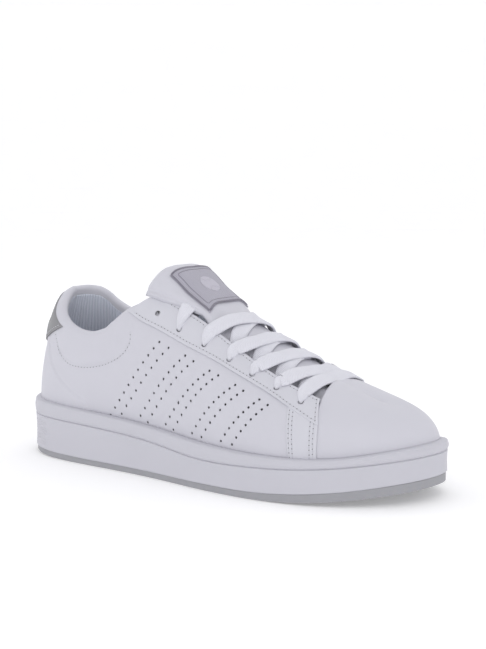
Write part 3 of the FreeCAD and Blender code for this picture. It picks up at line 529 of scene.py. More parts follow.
# ------------------------------------------------------------ seam lines shared by the upper's pieces
seams = {
    "throat": [(2.9, 0.627), (4.9, 0.683), (5.67, 0.709), (6.06, 0.733), (6.34, 0.768), (6.54, 0.762)],
    "rim": [(6.69, 0.731), (7.01, 0.681), (7.26, 0.613), (7.45, 0.568), (7.72, 0.553), (8.02, 0.571), (8.39, 0.617), (9.0, 0.72), (9.45, 0.81), (9.75, 0.864), (10.0, 0.882)],
    "innerRim": [(6.69, 0.735), (7.01, 0.70), (7.26, 0.65), (7.45, 0.622), (7.72, 0.612), (8.02, 0.64), (8.25, 0.682), (8.5, 0.741), (8.75, 0.815), (9.0, 0.854), (9.5, 0.878), (10.0, 0.882)],
    "tab": [(8.45, 0.6), (8.7, 0.575), (9.2, 0.53), (10.0, 0.48)],
    "collar": [(6.95, 0.647), (6.85, 0.535), (6.83, 0.471), (6.94, 0.411), (7.19, 0.367), (7.46, 0.345), (7.75, 0.339), (8.09, 0.355), (8.30, 0.387), (8.52, 0.455), (8.66, 0.55)],
    "heel": [(8.75, 0.40), (8.55, 0.325), (8.33, 0.261), (8.03, 0.194), (7.72, 0.144), (7.5, 0.11)],
    "eyestayLow": [(6.94, 0.653), (6.52, 0.573), (5.76, 0.507), (4.9, 0.511), (4.01, 0.505), (3.4, 0.457), (2.80, 0.385)],
    "eyestayHigh": [(6.60, 0.752), (6.34, 0.764), (6.06, 0.729), (5.67, 0.705), (4.9, 0.679), (3.9, 0.652), (2.93, 0.618)],
    "eyelets": [(6.35, 0.643), (5.86, 0.575), (5.31, 0.561), (4.78, 0.567), (4.29, 0.563), (3.78, 0.559), (3.25, 0.531)],
    "perforations": [((6.22, .479), (7.19, .104), 11), ((6.01, .459), (6.95, .118), 10), ((5.64, .451), (6.63, .088), 11), ((5.45, .443), (6.37, .104), 10),
                     ((5.09, .441), (6.04, .080), 11), ((4.90, .443), (5.76, .104), 10), ((4.53, .445), (5.39, .082), 11), ((4.35, .437), (5.08, .116), 9),
                     ((4.01, .433), (4.71, .092), 10), ((3.83, .421), (4.39, .130), 8)],
    "padStart": 6.5, "padEnd": 7.2, "padDepth": 8.7, "edgeDepth": 2.7,
}
outerTop, innerTop = levelLine(seams["throat"] + seams["rim"]), levelLine(seams["throat"] + seams["innerRim"])


def topAt(station):
    # height share of the upper's top edge; the inner side of the collar stands higher
    return np.where(np.asarray(station) > 10, innerTop(20 - np.asarray(station)), outerTop(station))


puffLevel = levelLine([(6.8, 0.60), (6.94, 0.411), (7.19, 0.367), (7.46, 0.345), (7.75, 0.339), (8.09, 0.355), (8.3, 0.387), (8.66, 0.5), (9.2, 0.5), (10, 0.5)])
heelLevel = levelLine([(7.5, 0.02), (7.72, 0.144), (8.03, 0.194), (8.33, 0.261), (8.55, 0.325), (8.75, 0.40), (9.2, 0.6), (10, 0.8)])


def mirrorStation(u, side):
    return u if side < 0 else 20 - u


def padDepth(u):
    return seams["edgeDepth"] + (seams["padDepth"] - seams["edgeDepth"]) * ease(seams["padStart"], seams["padEnd"], u)


def foldStation(u):
    return np.where(u > 10, 20 - u, u)


def puff(station, v):
    # the padded collar swells between its stitch line and the rim, and pulls in at the line
    u = foldStation(station)
    top, low = topAt(station), puffLevel(u)
    t = np.clip((v - low) / np.maximum(top - low, 1e-3), 0, 1)
    swell = 1.5 * np.sin(np.pi * t) ** 0.8 * ease(6.85, 7.2, u)
    pinch = 0.35 * np.exp(-((v - low) * 90 / 1.6) ** 2) * ease(6.9, 7.1, u) * (1 - ease(8.4, 8.6, u))
    return swell - pinch


def quarterLayer(station, v):
    # the heel overlay stands a little above the quarter behind its seam
    u = foldStation(station)
    step = 0.55 * ease(-0.004, 0.004, heelLevel(u) - v) * ease(7.5, 7.6, u)
    return puff(station, v) + step


def makeQuarter(side, name, nodes):
    # outer face from the lasting edge to the rim, a half-round roll over the padding, a short inner band, and back down behind
    zone = np.linspace(3.72, 7.28, 300)
    u = np.concatenate([np.linspace(2.92, 3.7, 26), zone, np.linspace(7.3, 9.94, 90), [9.97, 10.0]])[:, None]
    station = mirrorStation(u, side)
    top = topAt(station)
    scale = perHeight(station, np.minimum(top, 0.95))
    depth = padDepth(u)
    radius = depth / 2
    shoulderV = top - radius / scale
    fineV = np.linspace(0.07, 0.505, 108)[None, :]
    lowV = np.array([0.0, 0.02, 0.045])[None, :]
    highT = np.linspace(0, 1, 34)[None, 1:]
    faceV = np.concatenate([np.broadcast_to(lowV, (len(u), 3)), np.broadcast_to(fineV, (len(u), 108)), 0.505 + (shoulderV - 0.505) * highT], 1)
    faceLayer = quarterLayer(station, faceV)
    theta = np.linspace(0, np.pi, 15)[None, 1:]
    edgeLayer = quarterLayer(station, shoulderV)
    rollLayer = -radius + (radius + edgeLayer * 0.5 * (1 + np.cos(theta))) * np.cos(theta)
    rollLayer = np.where(np.cos(theta) > 0, rollLayer, -radius + radius * np.cos(theta))
    rollV = shoulderV + radius / scale * np.sin(theta)
    bandV = shoulderV - np.array([1.2, 3.0, 4.6])[None, :] / scale
    bandLayer = np.broadcast_to(-depth, bandV.shape) - np.array([0.15, 0.25, 0.1])[None, :] * ease(6.6, 7.2, u)
    backV = np.concatenate([bandV[:, -1:] - 0.6 / scale, bandV[:, -1:], bandV[:, -1:] * 0.6, bandV[:, -1:] * 0.25, np.zeros_like(u)], 1)
    backLayer = np.concatenate([-depth + 0.5, np.full_like(u, -1.4), np.full_like(u, -1.4), np.full_like(u, -1.4), np.full_like(u, -1.4)], 1)
    v = np.concatenate([faceV, rollV, bandV, backV], 1)
    layer = np.concatenate([faceLayer, rollLayer, bandLayer, backLayer], 1)
    points = upperAt(station, v, layer)
    normals = upperNormal(station, np.clip(v, 0.01, 0.97))
    holeShade = np.zeros(v.shape)
    centres = []
    for (u0, v0), (u1, v1), count in seams["perforations"]:
        f = np.linspace(0, 1, count)
        uu, vv = u0 + (u1 - u0) * f, v0 + (v1 - v0) * f
        centres.append(upperAt(mirrorStation(uu, side), vv, quarterLayer(mirrorStation(uu, side), vv)))
    face = slice(0, faceV.shape[1])
    # perforations and eyelet holes sink into the face and are marked for painted shade inside
    points[:, face], holeShade[:, face] = punch(points[:, face], normals[:, face], np.concatenate(centres), 0.85, 1.15, 0.45)
    eyes = np.array(seams["eyelets"])
    eyeCentres = upperAt(mirrorStation(eyes[:, 0], side), eyes[:, 1], 0.0)
    points[:, face], eyeHoleShade = punch(points[:, face], normals[:, face], eyeCentres, 1.8, 1.3, 0.6)
    holeShade[:, face] = np.maximum(holeShade[:, face], eyeHoleShade)
    columns = v.shape[1]
    caps = [list(range(columns)), list(range((len(u) - 1) * columns, len(u) * columns))[::-1]]
    return addPiece(name, points, gridFaces(len(u), columns, wrapColumns=True), [whiteLeather], nodes=nodes, slot="upper_leather", recessShade=holeShade, extraFaces=caps)


for side, name in ((-1, "outer"), (1, "inner")):
    makeQuarter(side, name + "QuarterLeather", [name + "_quarter"])
print("quarters made")


# ------------------------------------------------------------ vamp
def makeVamp():
    # the toe shell from station -2.9 to 2.9, both sides meeting along the ridge
    half = np.concatenate([np.linspace(-2.9, 2.9, 150)])[:, None]
    v = np.concatenate([[0, 0.02], np.linspace(0.05, 1.0, 70)])[None, :]
    outer, inner = upperAt(half % 20, v, 0.0), upperAt(half % 20, v, -1.4)
    rows, columns = outer.shape[:2]
    points = np.concatenate([outer, inner], 0).reshape(-1, 3)
    faces = gridFaces(rows, columns)
    rim = []
    for line in (np.arange(rows) * columns, np.arange(columns), (rows - 1) * columns + np.arange(columns)):
        rim.append(np.stack([line[:-1], line[1:], line[1:] + rows * columns, line[:-1] + rows * columns], 1))
    return addPiece("vampLeather", points, np.concatenate([faces, faces[:, ::-1] + rows * columns] + rim), [whiteLeather], nodes=["vamp"], slot="upper_leather", weld=True)


makeVamp()


# ------------------------------------------------------------ linings
def liningLayer(station, v):
    # the lining follows the padding inwards above the heel, and swells with it
    u = foldStation(station)
    deep = seams["edgeDepth"] - 0.25 + (padDepth(u) - seams["edgeDepth"]) * ease(0.30, 0.50, v) + 1.6 * ease(6.9, 7.3, u)* (1 - ease(0.30, 0.45, v))
    top = topAt(station)
    deep = deep + 3.0 * (1 - ease(0.2, 0.55, v))
    return -deep - 1.3 * np.sin(np.pi * np.clip((v - 0.4) / np.maximum(top - 0.4, 1e-3), 0, 1)) * ease(6.9, 7.4, u)


def makeLining(name, start, stop, bottom, topDrop, nodes, columns, rows=40, top=None):
    # a sheet behind the leather from station start to stop; its layout is in 10 mm units along and up
    u = np.linspace(start, stop, columns)[:, None]
    high = (topAt(u) - topDrop / perHeight(u, np.minimum(topAt(u), 0.95))) if top is None else np.full_like(u, top)
    v = bottom + (high - bottom) * np.linspace(0, 1, rows)[None, :]
    layer = liningLayer(u, v)
    layer = layer + 0.9 * np.exp(-((u - 10) * 36 / 0.8) ** 2)
    inner = upperAt(u, v, layer)
    outer = upperAt(u, v, layer + 0.8)
    run = np.concatenate([[0], np.cumsum(np.linalg.norm(np.diff(inner[:, rows // 2], axis=0), axis=1))])[:, None] / 10
    rise = np.concatenate([np.zeros((columns, 1)), np.cumsum(np.linalg.norm(np.diff(inner, axis=1), axis=2), axis=1)], 1) / 10
    uv = np.stack([np.broadcast_to(run, v.shape), rise], 2)
    return sheetPiece(name, outer, inner, [liningMesh], radius=0.0, uv=uv, nodes=nodes, slot="lining_mesh")


makeLining("collarLiningMesh", 6.9, 13.1, 0.345, 6.5, ["collar_lining"], 240)
makeLining("heelLiningMesh", 6.9, 13.1, 0.02, 0, ["heel_lining"], 200, top=0.345)
makeLining("outerLiningMesh", 2.95, 6.9, 0.02, 3.0, ["outer_lining"], 120)
makeLining("innerLiningMesh", 13.1, 17.05, 0.02, 3.0, ["inner_lining"], 120)


def makeVampLining():
    u = np.linspace(-2.88, 2.88, 100)[:, None]
    v = np.concatenate([[0, 0.02], np.linspace(0.05, 1.0, 40)])[None, :]
    clear = 3.0 * (1 - ease(0.2, 0.6, v))
    outer, inner = upperAt(u % 20, v, -2.5 - clear), upperAt(u % 20, v, -3.6 - clear)
    rows, columns = outer.shape[:2]
    points = np.concatenate([outer, inner], 0).reshape(-1, 3)
    faces = gridFaces(rows, columns)
    rim = []
    for line in (np.arange(rows) * columns, np.arange(columns), (rows - 1) * columns + np.arange(columns)):
        rim.append(np.stack([line[:-1], line[1:], line[1:] + rows * columns, line[:-1] + rows * columns], 1))
    uv = np.stack([np.broadcast_to(u * 3.6, (rows, columns)), np.broadcast_to(v * 6, (rows, columns))], 2)
    addPiece("vampLiningMesh", points, np.concatenate([faces, faces[:, ::-1] + rows * columns] + rim), [liningMesh], nodes=["vamp_lining"], slot="lining_mesh",
             uv=np.concatenate([uv, uv], 0), weld=True)


makeVampLining()


def makeCollarPad():
    # the foam roll between leather and lining, rounded at the top like the leather over it
    u = np.linspace(6.95, 13.05, 180)[:, None]
    side = foldStation(u)
    depth = padDepth(side)
    scale = perHeight(u, np.minimum(topAt(u), 0.95))
    radius = np.maximum(depth / 2 - 1.7, 0.8)
    peak = topAt(u) - 2.6 / scale
    low = 0.36
    theta = np.linspace(0, np.pi, 9)[None, :]
    shoulder = peak - radius / scale
    rise = np.linspace(0, 1, 14)[None, :-1]
    frontV = low + (shoulder - low) * rise
    v = np.concatenate([frontV, shoulder + radius / scale * np.sin(theta), frontV[:, ::-1]], 1)
    middle = -depth / 2
    thin = ease(0.36, 0.5, frontV)
    front = np.broadcast_to(middle + radius, frontV.shape)
    back = middle - radius * (thin - 0.6 * (1 - thin))
    layer = np.concatenate([front, middle + radius * np.cos(theta), back[:, ::-1]], 1)
    points = upperAt(u, v, layer)
    rows, columns = points.shape[:2]
    caps = [list(range(columns)), list(range((rows - 1) * columns, rows * columns))[::-1]]
    pad = addPiece("collarPad", points, gridFaces(rows, columns, wrapColumns=True), [foamFinish], nodes=["collar_foam"], slot="foam", extraFaces=caps)


makeCollarPad()


def makeSock():
    # footbed: rings from the outline to the middle line, edges cupped up
    settings = {"inset": 14.4, "thick": 4.0, "lift": 2.0, "cup": 2.6, "columns": 360}
    u = np.arange(settings["columns"]) * 20.0 / settings["columns"]
    edge = outlineAt(u, settings["inset"])
    spine = np.stack([np.clip(edge[:, 0], offset[0] + 52, offset[0] + 246), np.full(len(u), offset[1])], 1)
    shares = np.concatenate([[0, 0.01, 0.03, 0.06, 0.1, 0.15], np.linspace(0.22, 1.0, 16)])
    flat = edge[:, None] + (spine - edge)[:, None] * shares[None, :, None]
    away = np.linalg.norm(flat - edge[:, None], axis=2)
    low = foamTop(np.clip(flat[..., 0], offset[0], offset[0] + 300)) + settings["lift"]
    cup = settings["cup"] * (1 - ease(0, 9, away))
    roundTop = 0.9 * (1 - np.sqrt(np.clip(1 - (1 - np.clip(away, 0, 1.0)) ** 2, 0, 1)))
    top = np.concatenate([flat, (low + settings["thick"] + cup - roundTop)[..., None]], 2)
    under = np.concatenate([flat, low[..., None] + 0.05], 2)
    columns = len(shares)
    ring = np.concatenate([top, under[:, ::-1]], 1)
    uv = np.stack([ring[..., 0] / 10, ring[..., 1] / 10], 2)
    addPiece("footbed", ring, gridFaces(len(u), columns * 2, True, True), [sockCloth], nodes=["sockliner"], slot="lining_mesh", uv=uv, weld=True)


makeSock()
print("linings made")


# ------------------------------------------------------------ overlays: eyestays, front strips, heel tab
def acrossPatch(lowLine, highLine, f, g):
    # station and height at share f along the two borders and share g between them
    low, high = throughPoints(lowLine, 200), throughPoints(highLine, 200)
    at = np.linspace(0, 1, 200)
    pick = lambda line, k: np.interp(f, at, line[:, k])
    return pick(low, 0) + (pick(high, 0) - pick(low, 0)) * g, pick(low, 1) + (pick(high, 1) - pick(low, 1)) * g


overlay = {"low": 0.05, "high": 1.3, "stripHigh": 0.8, "tabHigh": 1.1}


def makeEyestay(side, name):
    f = edgeSteps(300, 170)[:, None]
    g = edgeSteps(54, 21)[None, :]
    u, v = acrossPatch(seams["eyestayLow"], seams["eyestayHigh"], f, g)
    station = mirrorStation(u, side)
    outer, inner = upperAt(station, v, overlay["high"]), upperAt(station, v, overlay["low"])
    outer, inner = roundOff(outer, inner, 0.7)
    normals = upperNormal(station, v)
    eyes = np.array(seams["eyelets"])
    at = mirrorStation(eyes[:, 0], side)
    # eyelet holes sink into the eyestay and are marked for painted shade inside
    outer, holeShade = punch(outer, normals, upperAt(at, eyes[:, 1], overlay["high"]), 1.8, 2.4, 0.5)
    inner, _ = punch(inner, normals, upperAt(at, eyes[:, 1], overlay["low"]), 1.8, 1.25, 0.5)
    sheetPiece(name + "EyestayLeather", outer, inner, [overlayLeather], radius=0.0, recessShade=holeShade, nodes=[name + "_eyestay"], slot="overlay_leather")


stripShape = {"low": [(3.24, 0.06), (2.99, 0.06), (2.73, 0.06)], "high": [(3.46, 0.475), (3.1, 0.44), (2.81, 0.415)]}


def makeStrip(side, name):
    f = edgeSteps(16, 22)[:, None]
    g = edgeSteps(30, 40)[None, :]
    u, v = acrossPatch(stripShape["low"], stripShape["high"], f, g)
    station = mirrorStation(u, side)
    outer, inner = upperAt(station, v, overlay["stripHigh"]), upperAt(station, v, overlay["low"])
    sheetPiece(name + "StripLeather", outer, inner, [overlayLeather], radius=0.6, nodes=[name + "_front_strip"], slot="overlay_leather")


def makeTab():
    u = 8.47 + (20 - 2 * 8.47) * edgeSteps(90, 100)[:, None]
    side = foldStation(u)
    low = levelLine(seams["tab"])(side)
    scale = perHeight(u, 0.8)
    high = topAt(u) - padDepth(side) / 2 / scale + 1.6 / scale
    v = low + (high - low) * edgeSteps(30, 36)[None, :]
    base = quarterLayer(u, v) + 0.05
    roll = np.clip((v - (high - 1.6 / scale)) * scale / 4.35, 0, 1)
    base = base - 4.35 * (1 - np.sqrt(1 - roll ** 2)) * 0.8
    outer, inner = upperAt(u, v, base + overlay["tabHigh"]), upperAt(u, v, base - 0.2)
    sheetPiece("heelTabLeather", outer, inner, [greyLeather], radius=0.6, nodes=["heel_tab"], slot="tab_leather")


for side, name in ((-1, "outer"), (1, "inner")):
    makeEyestay(side, name)
    makeStrip(side, name)
makeTab()
print("overlays made")


# ------------------------------------------------------------ sewing
def bead(rings=4, around=6):
    # a small egg along x, a few dozen faces
    a = np.linspace(0, np.pi, rings + 2)[1:-1]
    t = np.arange(around) * 2 * np.pi / around
    body = np.stack([np.repeat(-np.cos(a), around), np.outer(np.sin(a), np.cos(t)).ravel(), np.outer(np.sin(a), np.sin(t)).ravel()], 1)
    points = np.concatenate([body, [[-1, 0, 0], [1, 0, 0]]])
    n = len(body)
    faces = gridFaces(rings, around, wrapColumns=True).tolist()
    k = np.arange(around)
    tips = np.stack([k, (k + 1) % around, np.full(around, n)], 1)
    ends = np.stack([n - around + (k + 1) % around, n - around + k, np.full(around, n + 1)], 1)
    return points, faces, tips.tolist() + ends.tolist()


sewing = {"pitch": 2.7, "long": 0.98, "wide": 0.28, "high": 0.2, "hole": 0.33}


def sewRows(rows):
    # stitches and needle holes at an even pitch along each path of points with normals; the needle holes are flat beads
    # of painted shade; gives centres, axes, sizes and the painted shade
    spots = []
    for path, normals in rows:
        run = np.concatenate([[0], np.cumsum(np.linalg.norm(np.diff(path, axis=0), axis=1))])
        count = int(run[-1] / sewing["pitch"])
        at = (np.arange(count) + 0.5) * run[-1] / max(count, 1)
        pick = lambda a, s: np.stack([np.interp(s, run, a[:, k]) for k in range(3)], 1)
        # second pass: needle holes, drawn as dark flat beads of painted shade between the stitches
        for shift, size, holeShade in ((0.0, (sewing["long"], sewing["wide"], sewing["high"]), 0.0), (sewing["pitch"] / 2, (sewing["hole"], sewing["hole"], 0.05), 1.0)):
            s = np.clip(at + shift, 0, run[-1])
            along = unit(pick(path, np.minimum(s + 0.3, run[-1])) - pick(path, np.maximum(s - 0.3, 0)))
            up = unit(pick(normals, s))
            across = unit(np.cross(up, along))
            up = np.cross(along, across)
            axes = np.stack([along * size[0], across * size[1], up * size[2]], 1)
            spots.append((pick(path, s) + up * 0.04, axes, np.full(len(s), holeShade)))
    return [np.concatenate([p[k] for p in spots]) for k in range(3)]


def makeSewing(name, rows, body="shoe"):
    centres, axes, holeShade = sewRows(rows)
    shape, quads, tips = bead()
    points = centres[:, None] + np.einsum("kj,njc->nkc", shape, axes)
    n = len(shape)
    start = (np.arange(len(centres)) * n)[:, None, None]
    faces = (np.array(quads)[None] + start).reshape(-1, 4).tolist()
    small = (np.array(tips)[None] + start).reshape(-1, 3).tolist()
    return addPiece(name, points, faces, [whiteThread], recessShade=np.repeat(holeShade, n), body=body, extraFaces=small)


def surfacePath(uv, side, layer, count=240):
    line = throughPoints(uv, count)
    station = mirrorStation(line[:, 0], side)
    layer = layer(station, line[:, 1]) if callable(layer) else layer
    return upperAt(station, line[:, 1], layer), upperNormal(station, line[:, 1])


def insideEyestay(gap, side, border):
    # a path that keeps an even distance from one border of the eyestay
    f = np.linspace(0.02, 0.985, 240)
    lowU, lowV = acrossPatch(seams["eyestayLow"], seams["eyestayHigh"], f, 0.0)
    highU, highV = acrossPatch(seams["eyestayLow"], seams["eyestayHigh"], f, 1.0)
    width = np.linalg.norm(upperAt(highU, highV) - upperAt(lowU, lowV), axis=1)
    g = gap / width if border == "low" else 1 - gap / width
    u, v = acrossPatch(seams["eyestayLow"], seams["eyestayHigh"], f, g)
    station = mirrorStation(u, side)
    return upperAt(station, v, overlay["high"]), upperNormal(station, v)


def eyestayFront(gap, side):
    f = 1 - gap / 170
    g = np.linspace(0.1, 0.9, 60)
    u, v = acrossPatch(seams["eyestayLow"], seams["eyestayHigh"], np.full(60, f), g)
    station = mirrorStation(u, side)
    return upperAt(station, v, overlay["high"]), upperNormal(station, v)


def stripPath(f, side):
    g = np.linspace(0.03, 0.93, 60)
    u, v = acrossPatch(stripShape["low"], stripShape["high"], np.full(60, f), g)
    station = mirrorStation(u, side)
    return upperAt(station, v, overlay["stripHigh"]), upperNormal(station, v)


for side, name in ((-1, "outer"), (1, "inner")):
    rows = [insideEyestay(2.2, side, "low"), insideEyestay(2.2, side, "high"), eyestayFront(2.6, side)]
    rows += [stripPath(f, side) for f in (0.07, 0.18, 0.76, 0.87)]
    rows += [surfacePath(seams["collar"][1:], side, quarterLayer)]
    makeSewing(name + "Stitching", rows)


def tabStitching():
    u = np.linspace(8.56, 11.44, 160)
    side = foldStation(u)
    v = levelLine(seams["tab"])(side) + 2.4 / perHeight(u, 0.6)
    layer = quarterLayer(u, v) + overlay["tabHigh"] + 0.05
    return upperAt(u, v, layer), upperNormal(u, v)


makeSewing("tabStitching", [tabStitching()])
print("sewing made")

# ------------------------------------------------------------ tongue
tongueShape = {
    "layer": -6.3, "start": 2.75, "stop": 5.0, "pad": 6.0,
    "crest": [(246, 56.5), (238, 59.8), (210, 74.5), (180, 90), (158, 104)],
    "tip": [(156.9, 104.5, 23.0, 6.5), (148, 110.7, 24.0, 7.5), (139, 117.0, 26.0, 11.0), (130, 122.8, 28.0, 14.5), (121, 126.8, 29.0, 16.0), (113.5, 127.6, 28.0, 15.5)],
    "swell": 2.8,
    "rows": 150, "columns": 65,
}


def tongueSkin():
    # outer face through the sections under the eyestays and then those of the free tip, resampled smoothly both ways
    rows = []
    crest = levelLine(tongueShape["crest"])
    for u in np.linspace(tongueShape["start"], tongueShape["stop"], 9):
        middle = upperAt(u, 0.66, tongueShape["layer"])
        top = np.array([middle[0], offset[1], crest(middle[0] - offset[0])])
        five = np.array([upperAt(u, 0.5, tongueShape["layer"]), upperAt(u, 0.64, tongueShape["layer"]), top,
                         upperAt(20 - u, 0.64, tongueShape["layer"]), upperAt(20 - u, 0.5, tongueShape["layer"])])
        nine = throughPoints(five, 9, even=False)
        nine[[3, 5]] += np.array([[0.3, -0.6, 0.8], [0.3, 0.6, 0.8]]) * tongueShape["swell"]
        rows.append(nine)
    for x, z, half, drop in tongueShape["tip"]:
        across = np.array([-1, -0.86, -0.6, -0.3, 0, 0.3, 0.6, 0.86, 1.0])
        sink = drop * np.abs(across) ** 4
        rows.append(np.stack([x - 0.35 * sink, across * half, z - sink], 1) + offset)
    rows = np.array(rows)
    long = throughPoints(rows, tongueShape["rows"], even=True)
    return np.transpose(throughPoints(np.transpose(long, (1, 0, 2)), tongueShape["columns"], even=False), (1, 0, 2))


skin = tongueSkin()


def skinNormals(grid):
    along = np.gradient(grid, axis=0)
    across = np.gradient(grid, axis=1)
    n = unit(np.cross(along, across))
    return np.where(n[..., 2:] < 0, -n, n)


skinUp = skinNormals(skin)


def makeTongue():
    # a pad either side of a middle surface: full in the middle, thin at the sides, half round at the top, with a sewn edge
    rows, columns = skin.shape[:2]
    c = np.linspace(-1, 1, columns)[None, :]
    middleLine = skin[:, columns // 2]
    run = np.concatenate([[0], np.cumsum(np.linalg.norm(np.diff(middleLine, axis=0), axis=1))])
    left = (run[-1] - run)[:, None]
    tip = ease(70, 20, left)
    full = 3.0 + 1.9 * ease(30, 8, left)
    across = np.clip(1 - np.abs(c) ** 8, 0, 1) ** 0.5
    end = np.sqrt(np.clip(1 - np.clip(1 - left / 6.0, 0, 1) ** 2, 0, 1))
    seam = 1 - 0.3 * np.exp(-((np.abs(c) - 0.9) / 0.025) ** 2) * tip
    half = full * across * end * seam * (0.55 + 0.45 * ease(0, 12, run)[:, None]) + 0.02
    middle = skin - skinUp * 3.0
    outer, inner = middle + skinUp * half[..., None], middle - skinUp * half[..., None]
    across10 = np.concatenate([[0], np.cumsum(np.linalg.norm(np.diff(skin[100], axis=0), axis=1))]) / 10
    uv = np.stack([np.broadcast_to(across10, (rows, columns)), np.broadcast_to(run[:, None] / 10, (rows, columns))], 2)
    tongue = sheetPiece("tonguePad", outer, inner, [softLeather, liningMesh], radius=0.0, uv=uv, backLook=1, nodes=["tongue_lower", "tongue_top"], slot="tongue_leather",
                        body=None, weld=True)
    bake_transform(tongue)
    return outer


tongueFace = makeTongue()
tongueUp = skinNormals(tongueFace)


def onTongue(row, across, lift=np.float64(0.0)):
    # point and normal on the tongue's face at a row share 0-1 and across -1..1
    r = np.asarray(row, float) * (tongueFace.shape[0] - 1)
    c = (np.asarray(across, float) + 1) / 2 * (tongueFace.shape[1] - 1)
    r0, c0 = np.clip(r.astype(int), 0, tongueFace.shape[0] - 2), np.clip(c.astype(int), 0, tongueFace.shape[1] - 2)
    fr, fc = (r - r0)[..., None], (c - c0)[..., None]

    def pick(a):
        return (a[r0, c0] * (1 - fr) + a[r0 + 1, c0] * fr) * (1 - fc) + (a[r0, c0 + 1] * (1 - fr) + a[r0 + 1, c0 + 1] * fr) * fc

    up = unit(pick(tongueUp))
    return pick(tongueFace) + up * np.asarray(lift)[..., None], up


def rowAtX(x):
    middle = tongueFace[:, tongueFace.shape[1] // 2, 0]
    return np.interp(-np.asarray(x, float), -middle, np.linspace(0, 1, len(middle)))


print("tongue made")


# ------------------------------------------------------------ badge: a plain patch with a sewn border and a ball on it
badge = {"top": 125.0, "bottom": 153.6, "half": 19.6, "corner": 2.0, "rise": 1.0, "ball": 7.2}


def tongueOver(x, y, lift):
    # the tongue's face straight above a place in the plan: row and column corrected until they meet it
    x, y = np.broadcast_arrays(np.asarray(x, float) + offset[0], np.asarray(y, float) + offset[1])
    row, across = rowAtX(x), (y - offset[1]) / 28.0
    length = np.ptp(tongueFace[:, 32, 0])
    for _ in range(12):
        point, _ = onTongue(row, across)
        row = np.clip(row + 0.7 * (point[..., 0] - x) / length, 0, 1)
        across = np.clip(across + 0.7 * (y - point[..., 1]) / 28.0, -1, 1)
    return onTongue(row, across, lift)


def badgePoint(p, q, lift):
    # p from 0 at the patch's lower edge to 1 at its top, q across -1..1; both edges bow a little
    p, q = np.broadcast_arrays(np.asarray(p, float), np.asarray(q, float))
    x = badge["bottom"] + (badge["top"] - badge["bottom"]) * p + 1.2 * q * q * (1 - p) - 1.0 * q * q * p
    return tongueOver(x, q * (badge["half"] + 1.2 * p), lift)


def makeBadge():
    p = edgeSteps(40, 36)[:, None] * np.ones((1, 1))
    q = (edgeSteps(50, 40) * 2 - 1)[None, :]
    p, q = np.broadcast_arrays(p, q)
    top, _ = badgePoint(p, q, badge["rise"] * np.ones(p.shape))
    low, _ = badgePoint(p, q, 0.05 * np.ones(p.shape))
    uv = np.stack([q * 2.0, p * 3.6], 2)
    sheetPiece("badgePatch", top, low, [badgeCloth], radius=0.4, uv=uv, nodes=["tongue_badge"], slot="badge_fabric", body="tongue_tip")
    makeBadgeBorder()
    makeBall()


def makeBadgeBorder():
    # a thick overlocked edge round the patch, as a tube along its outline, with a thinner sewn line inside it
    for name, inset, radius in (("badgeBorder", 0.02, 0.75), ("badgeLine", 0.105, 0.28)):
        t = np.linspace(0, 1, 60, endpoint=False)
        low, high = inset, 1 - inset
        side = 1 - inset * 1.6
        p = np.concatenate([low + (high - low) * t, np.full(60, high), high - (high - low) * t, np.full(60, low)])
        q = np.concatenate([np.full(60, -side), -side + 2 * side * t, np.full(60, side), side - 2 * side * t])
        for _ in range(3):
            p, q = (np.roll(p, 1) + 2 * p + np.roll(p, -1)) / 4, (np.roll(q, 1) + 2 * q + np.roll(q, -1)) / 4
        centre, up = badgePoint(p, q, badge["rise"] * 0.95 * np.ones(len(p)))
        along = unit(np.roll(centre, -1, 0) - np.roll(centre, 1, 0))
        across = unit(np.cross(up, along))
        a = np.arange(10) * 2 * np.pi / 10
        ring = centre[:, None] + across[:, None] * (np.cos(a) * radius)[None, :, None] + up[:, None] * (np.sin(a) * radius * 0.75)[None, :, None]
        run = np.concatenate([[0], np.cumsum(np.linalg.norm(np.diff(centre, axis=0), axis=1))]) / 10
        uv = np.stack([np.broadcast_to(run[:, None], (len(p), 10)), np.broadcast_to(np.abs(a - np.pi)[None] / 10, (len(p), 10))], 2)
        addPiece(name, ring, gridFaces(len(p), 10, True, True), [badgeThread], slot="badge_fabric", body="tongue_tip", uv=uv)


def makeBall():
    # a plain ball shown as a low dome with its two curved seams left as grooves
    r = np.linspace(0, 1, 22)[:, None]
    a = (np.arange(96) * 2 * np.pi / 96)[None, :]
    x, y = r * np.cos(a), r * np.sin(a)
    seam = np.minimum(np.abs(np.hypot(x - 1.25, y) - 0.85), np.abs(np.hypot(x + 1.25, y) - 0.85))
    lift = badge["rise"] + 0.6 * np.sqrt(np.clip(1 - r ** 2, 0, 1)) ** 0.6 * np.ones_like(a) - 0.45 * np.exp(-(seam / 0.055) ** 2)
    lift = np.where(r >= 0.999, badge["rise"] - 0.1, lift)
    p = 0.5 + x * badge["ball"] / 36
    q = y * badge["ball"] / 19.6
    points, _ = badgePoint(p, q, lift)
    uv = np.stack([x * 0.8, y * 0.8], 2)
    # painted shade along the seam grooves, kept in an attribute that the cloth finish does not read
    recessShade = np.exp(-(seam / 0.06) ** 2)
    under = [list(range(21 * 96, 22 * 96))]
    addPiece("badgeBall", points, gridFaces(22, 96, wrapColumns=True), [badgeMotif], slot="badge_fabric", body="tongue_tip", uv=uv, recessShade=recessShade, extraFaces=under, weld=True)


makeBadge()


print("badge made")

# ------------------------------------------------------------ laces
lace = {"half": 0.95, "width": 10.4, "over": 2.3, "under": -4.1, "rest": 1.1, "stack": 1.6, "around": 16}
throatLevel = levelLine(seams["throat"])


def seat(u, v, side, layer):
    station = mirrorStation(u, side)
    return upperAt(station, v, layer), upperNormal(station, v)


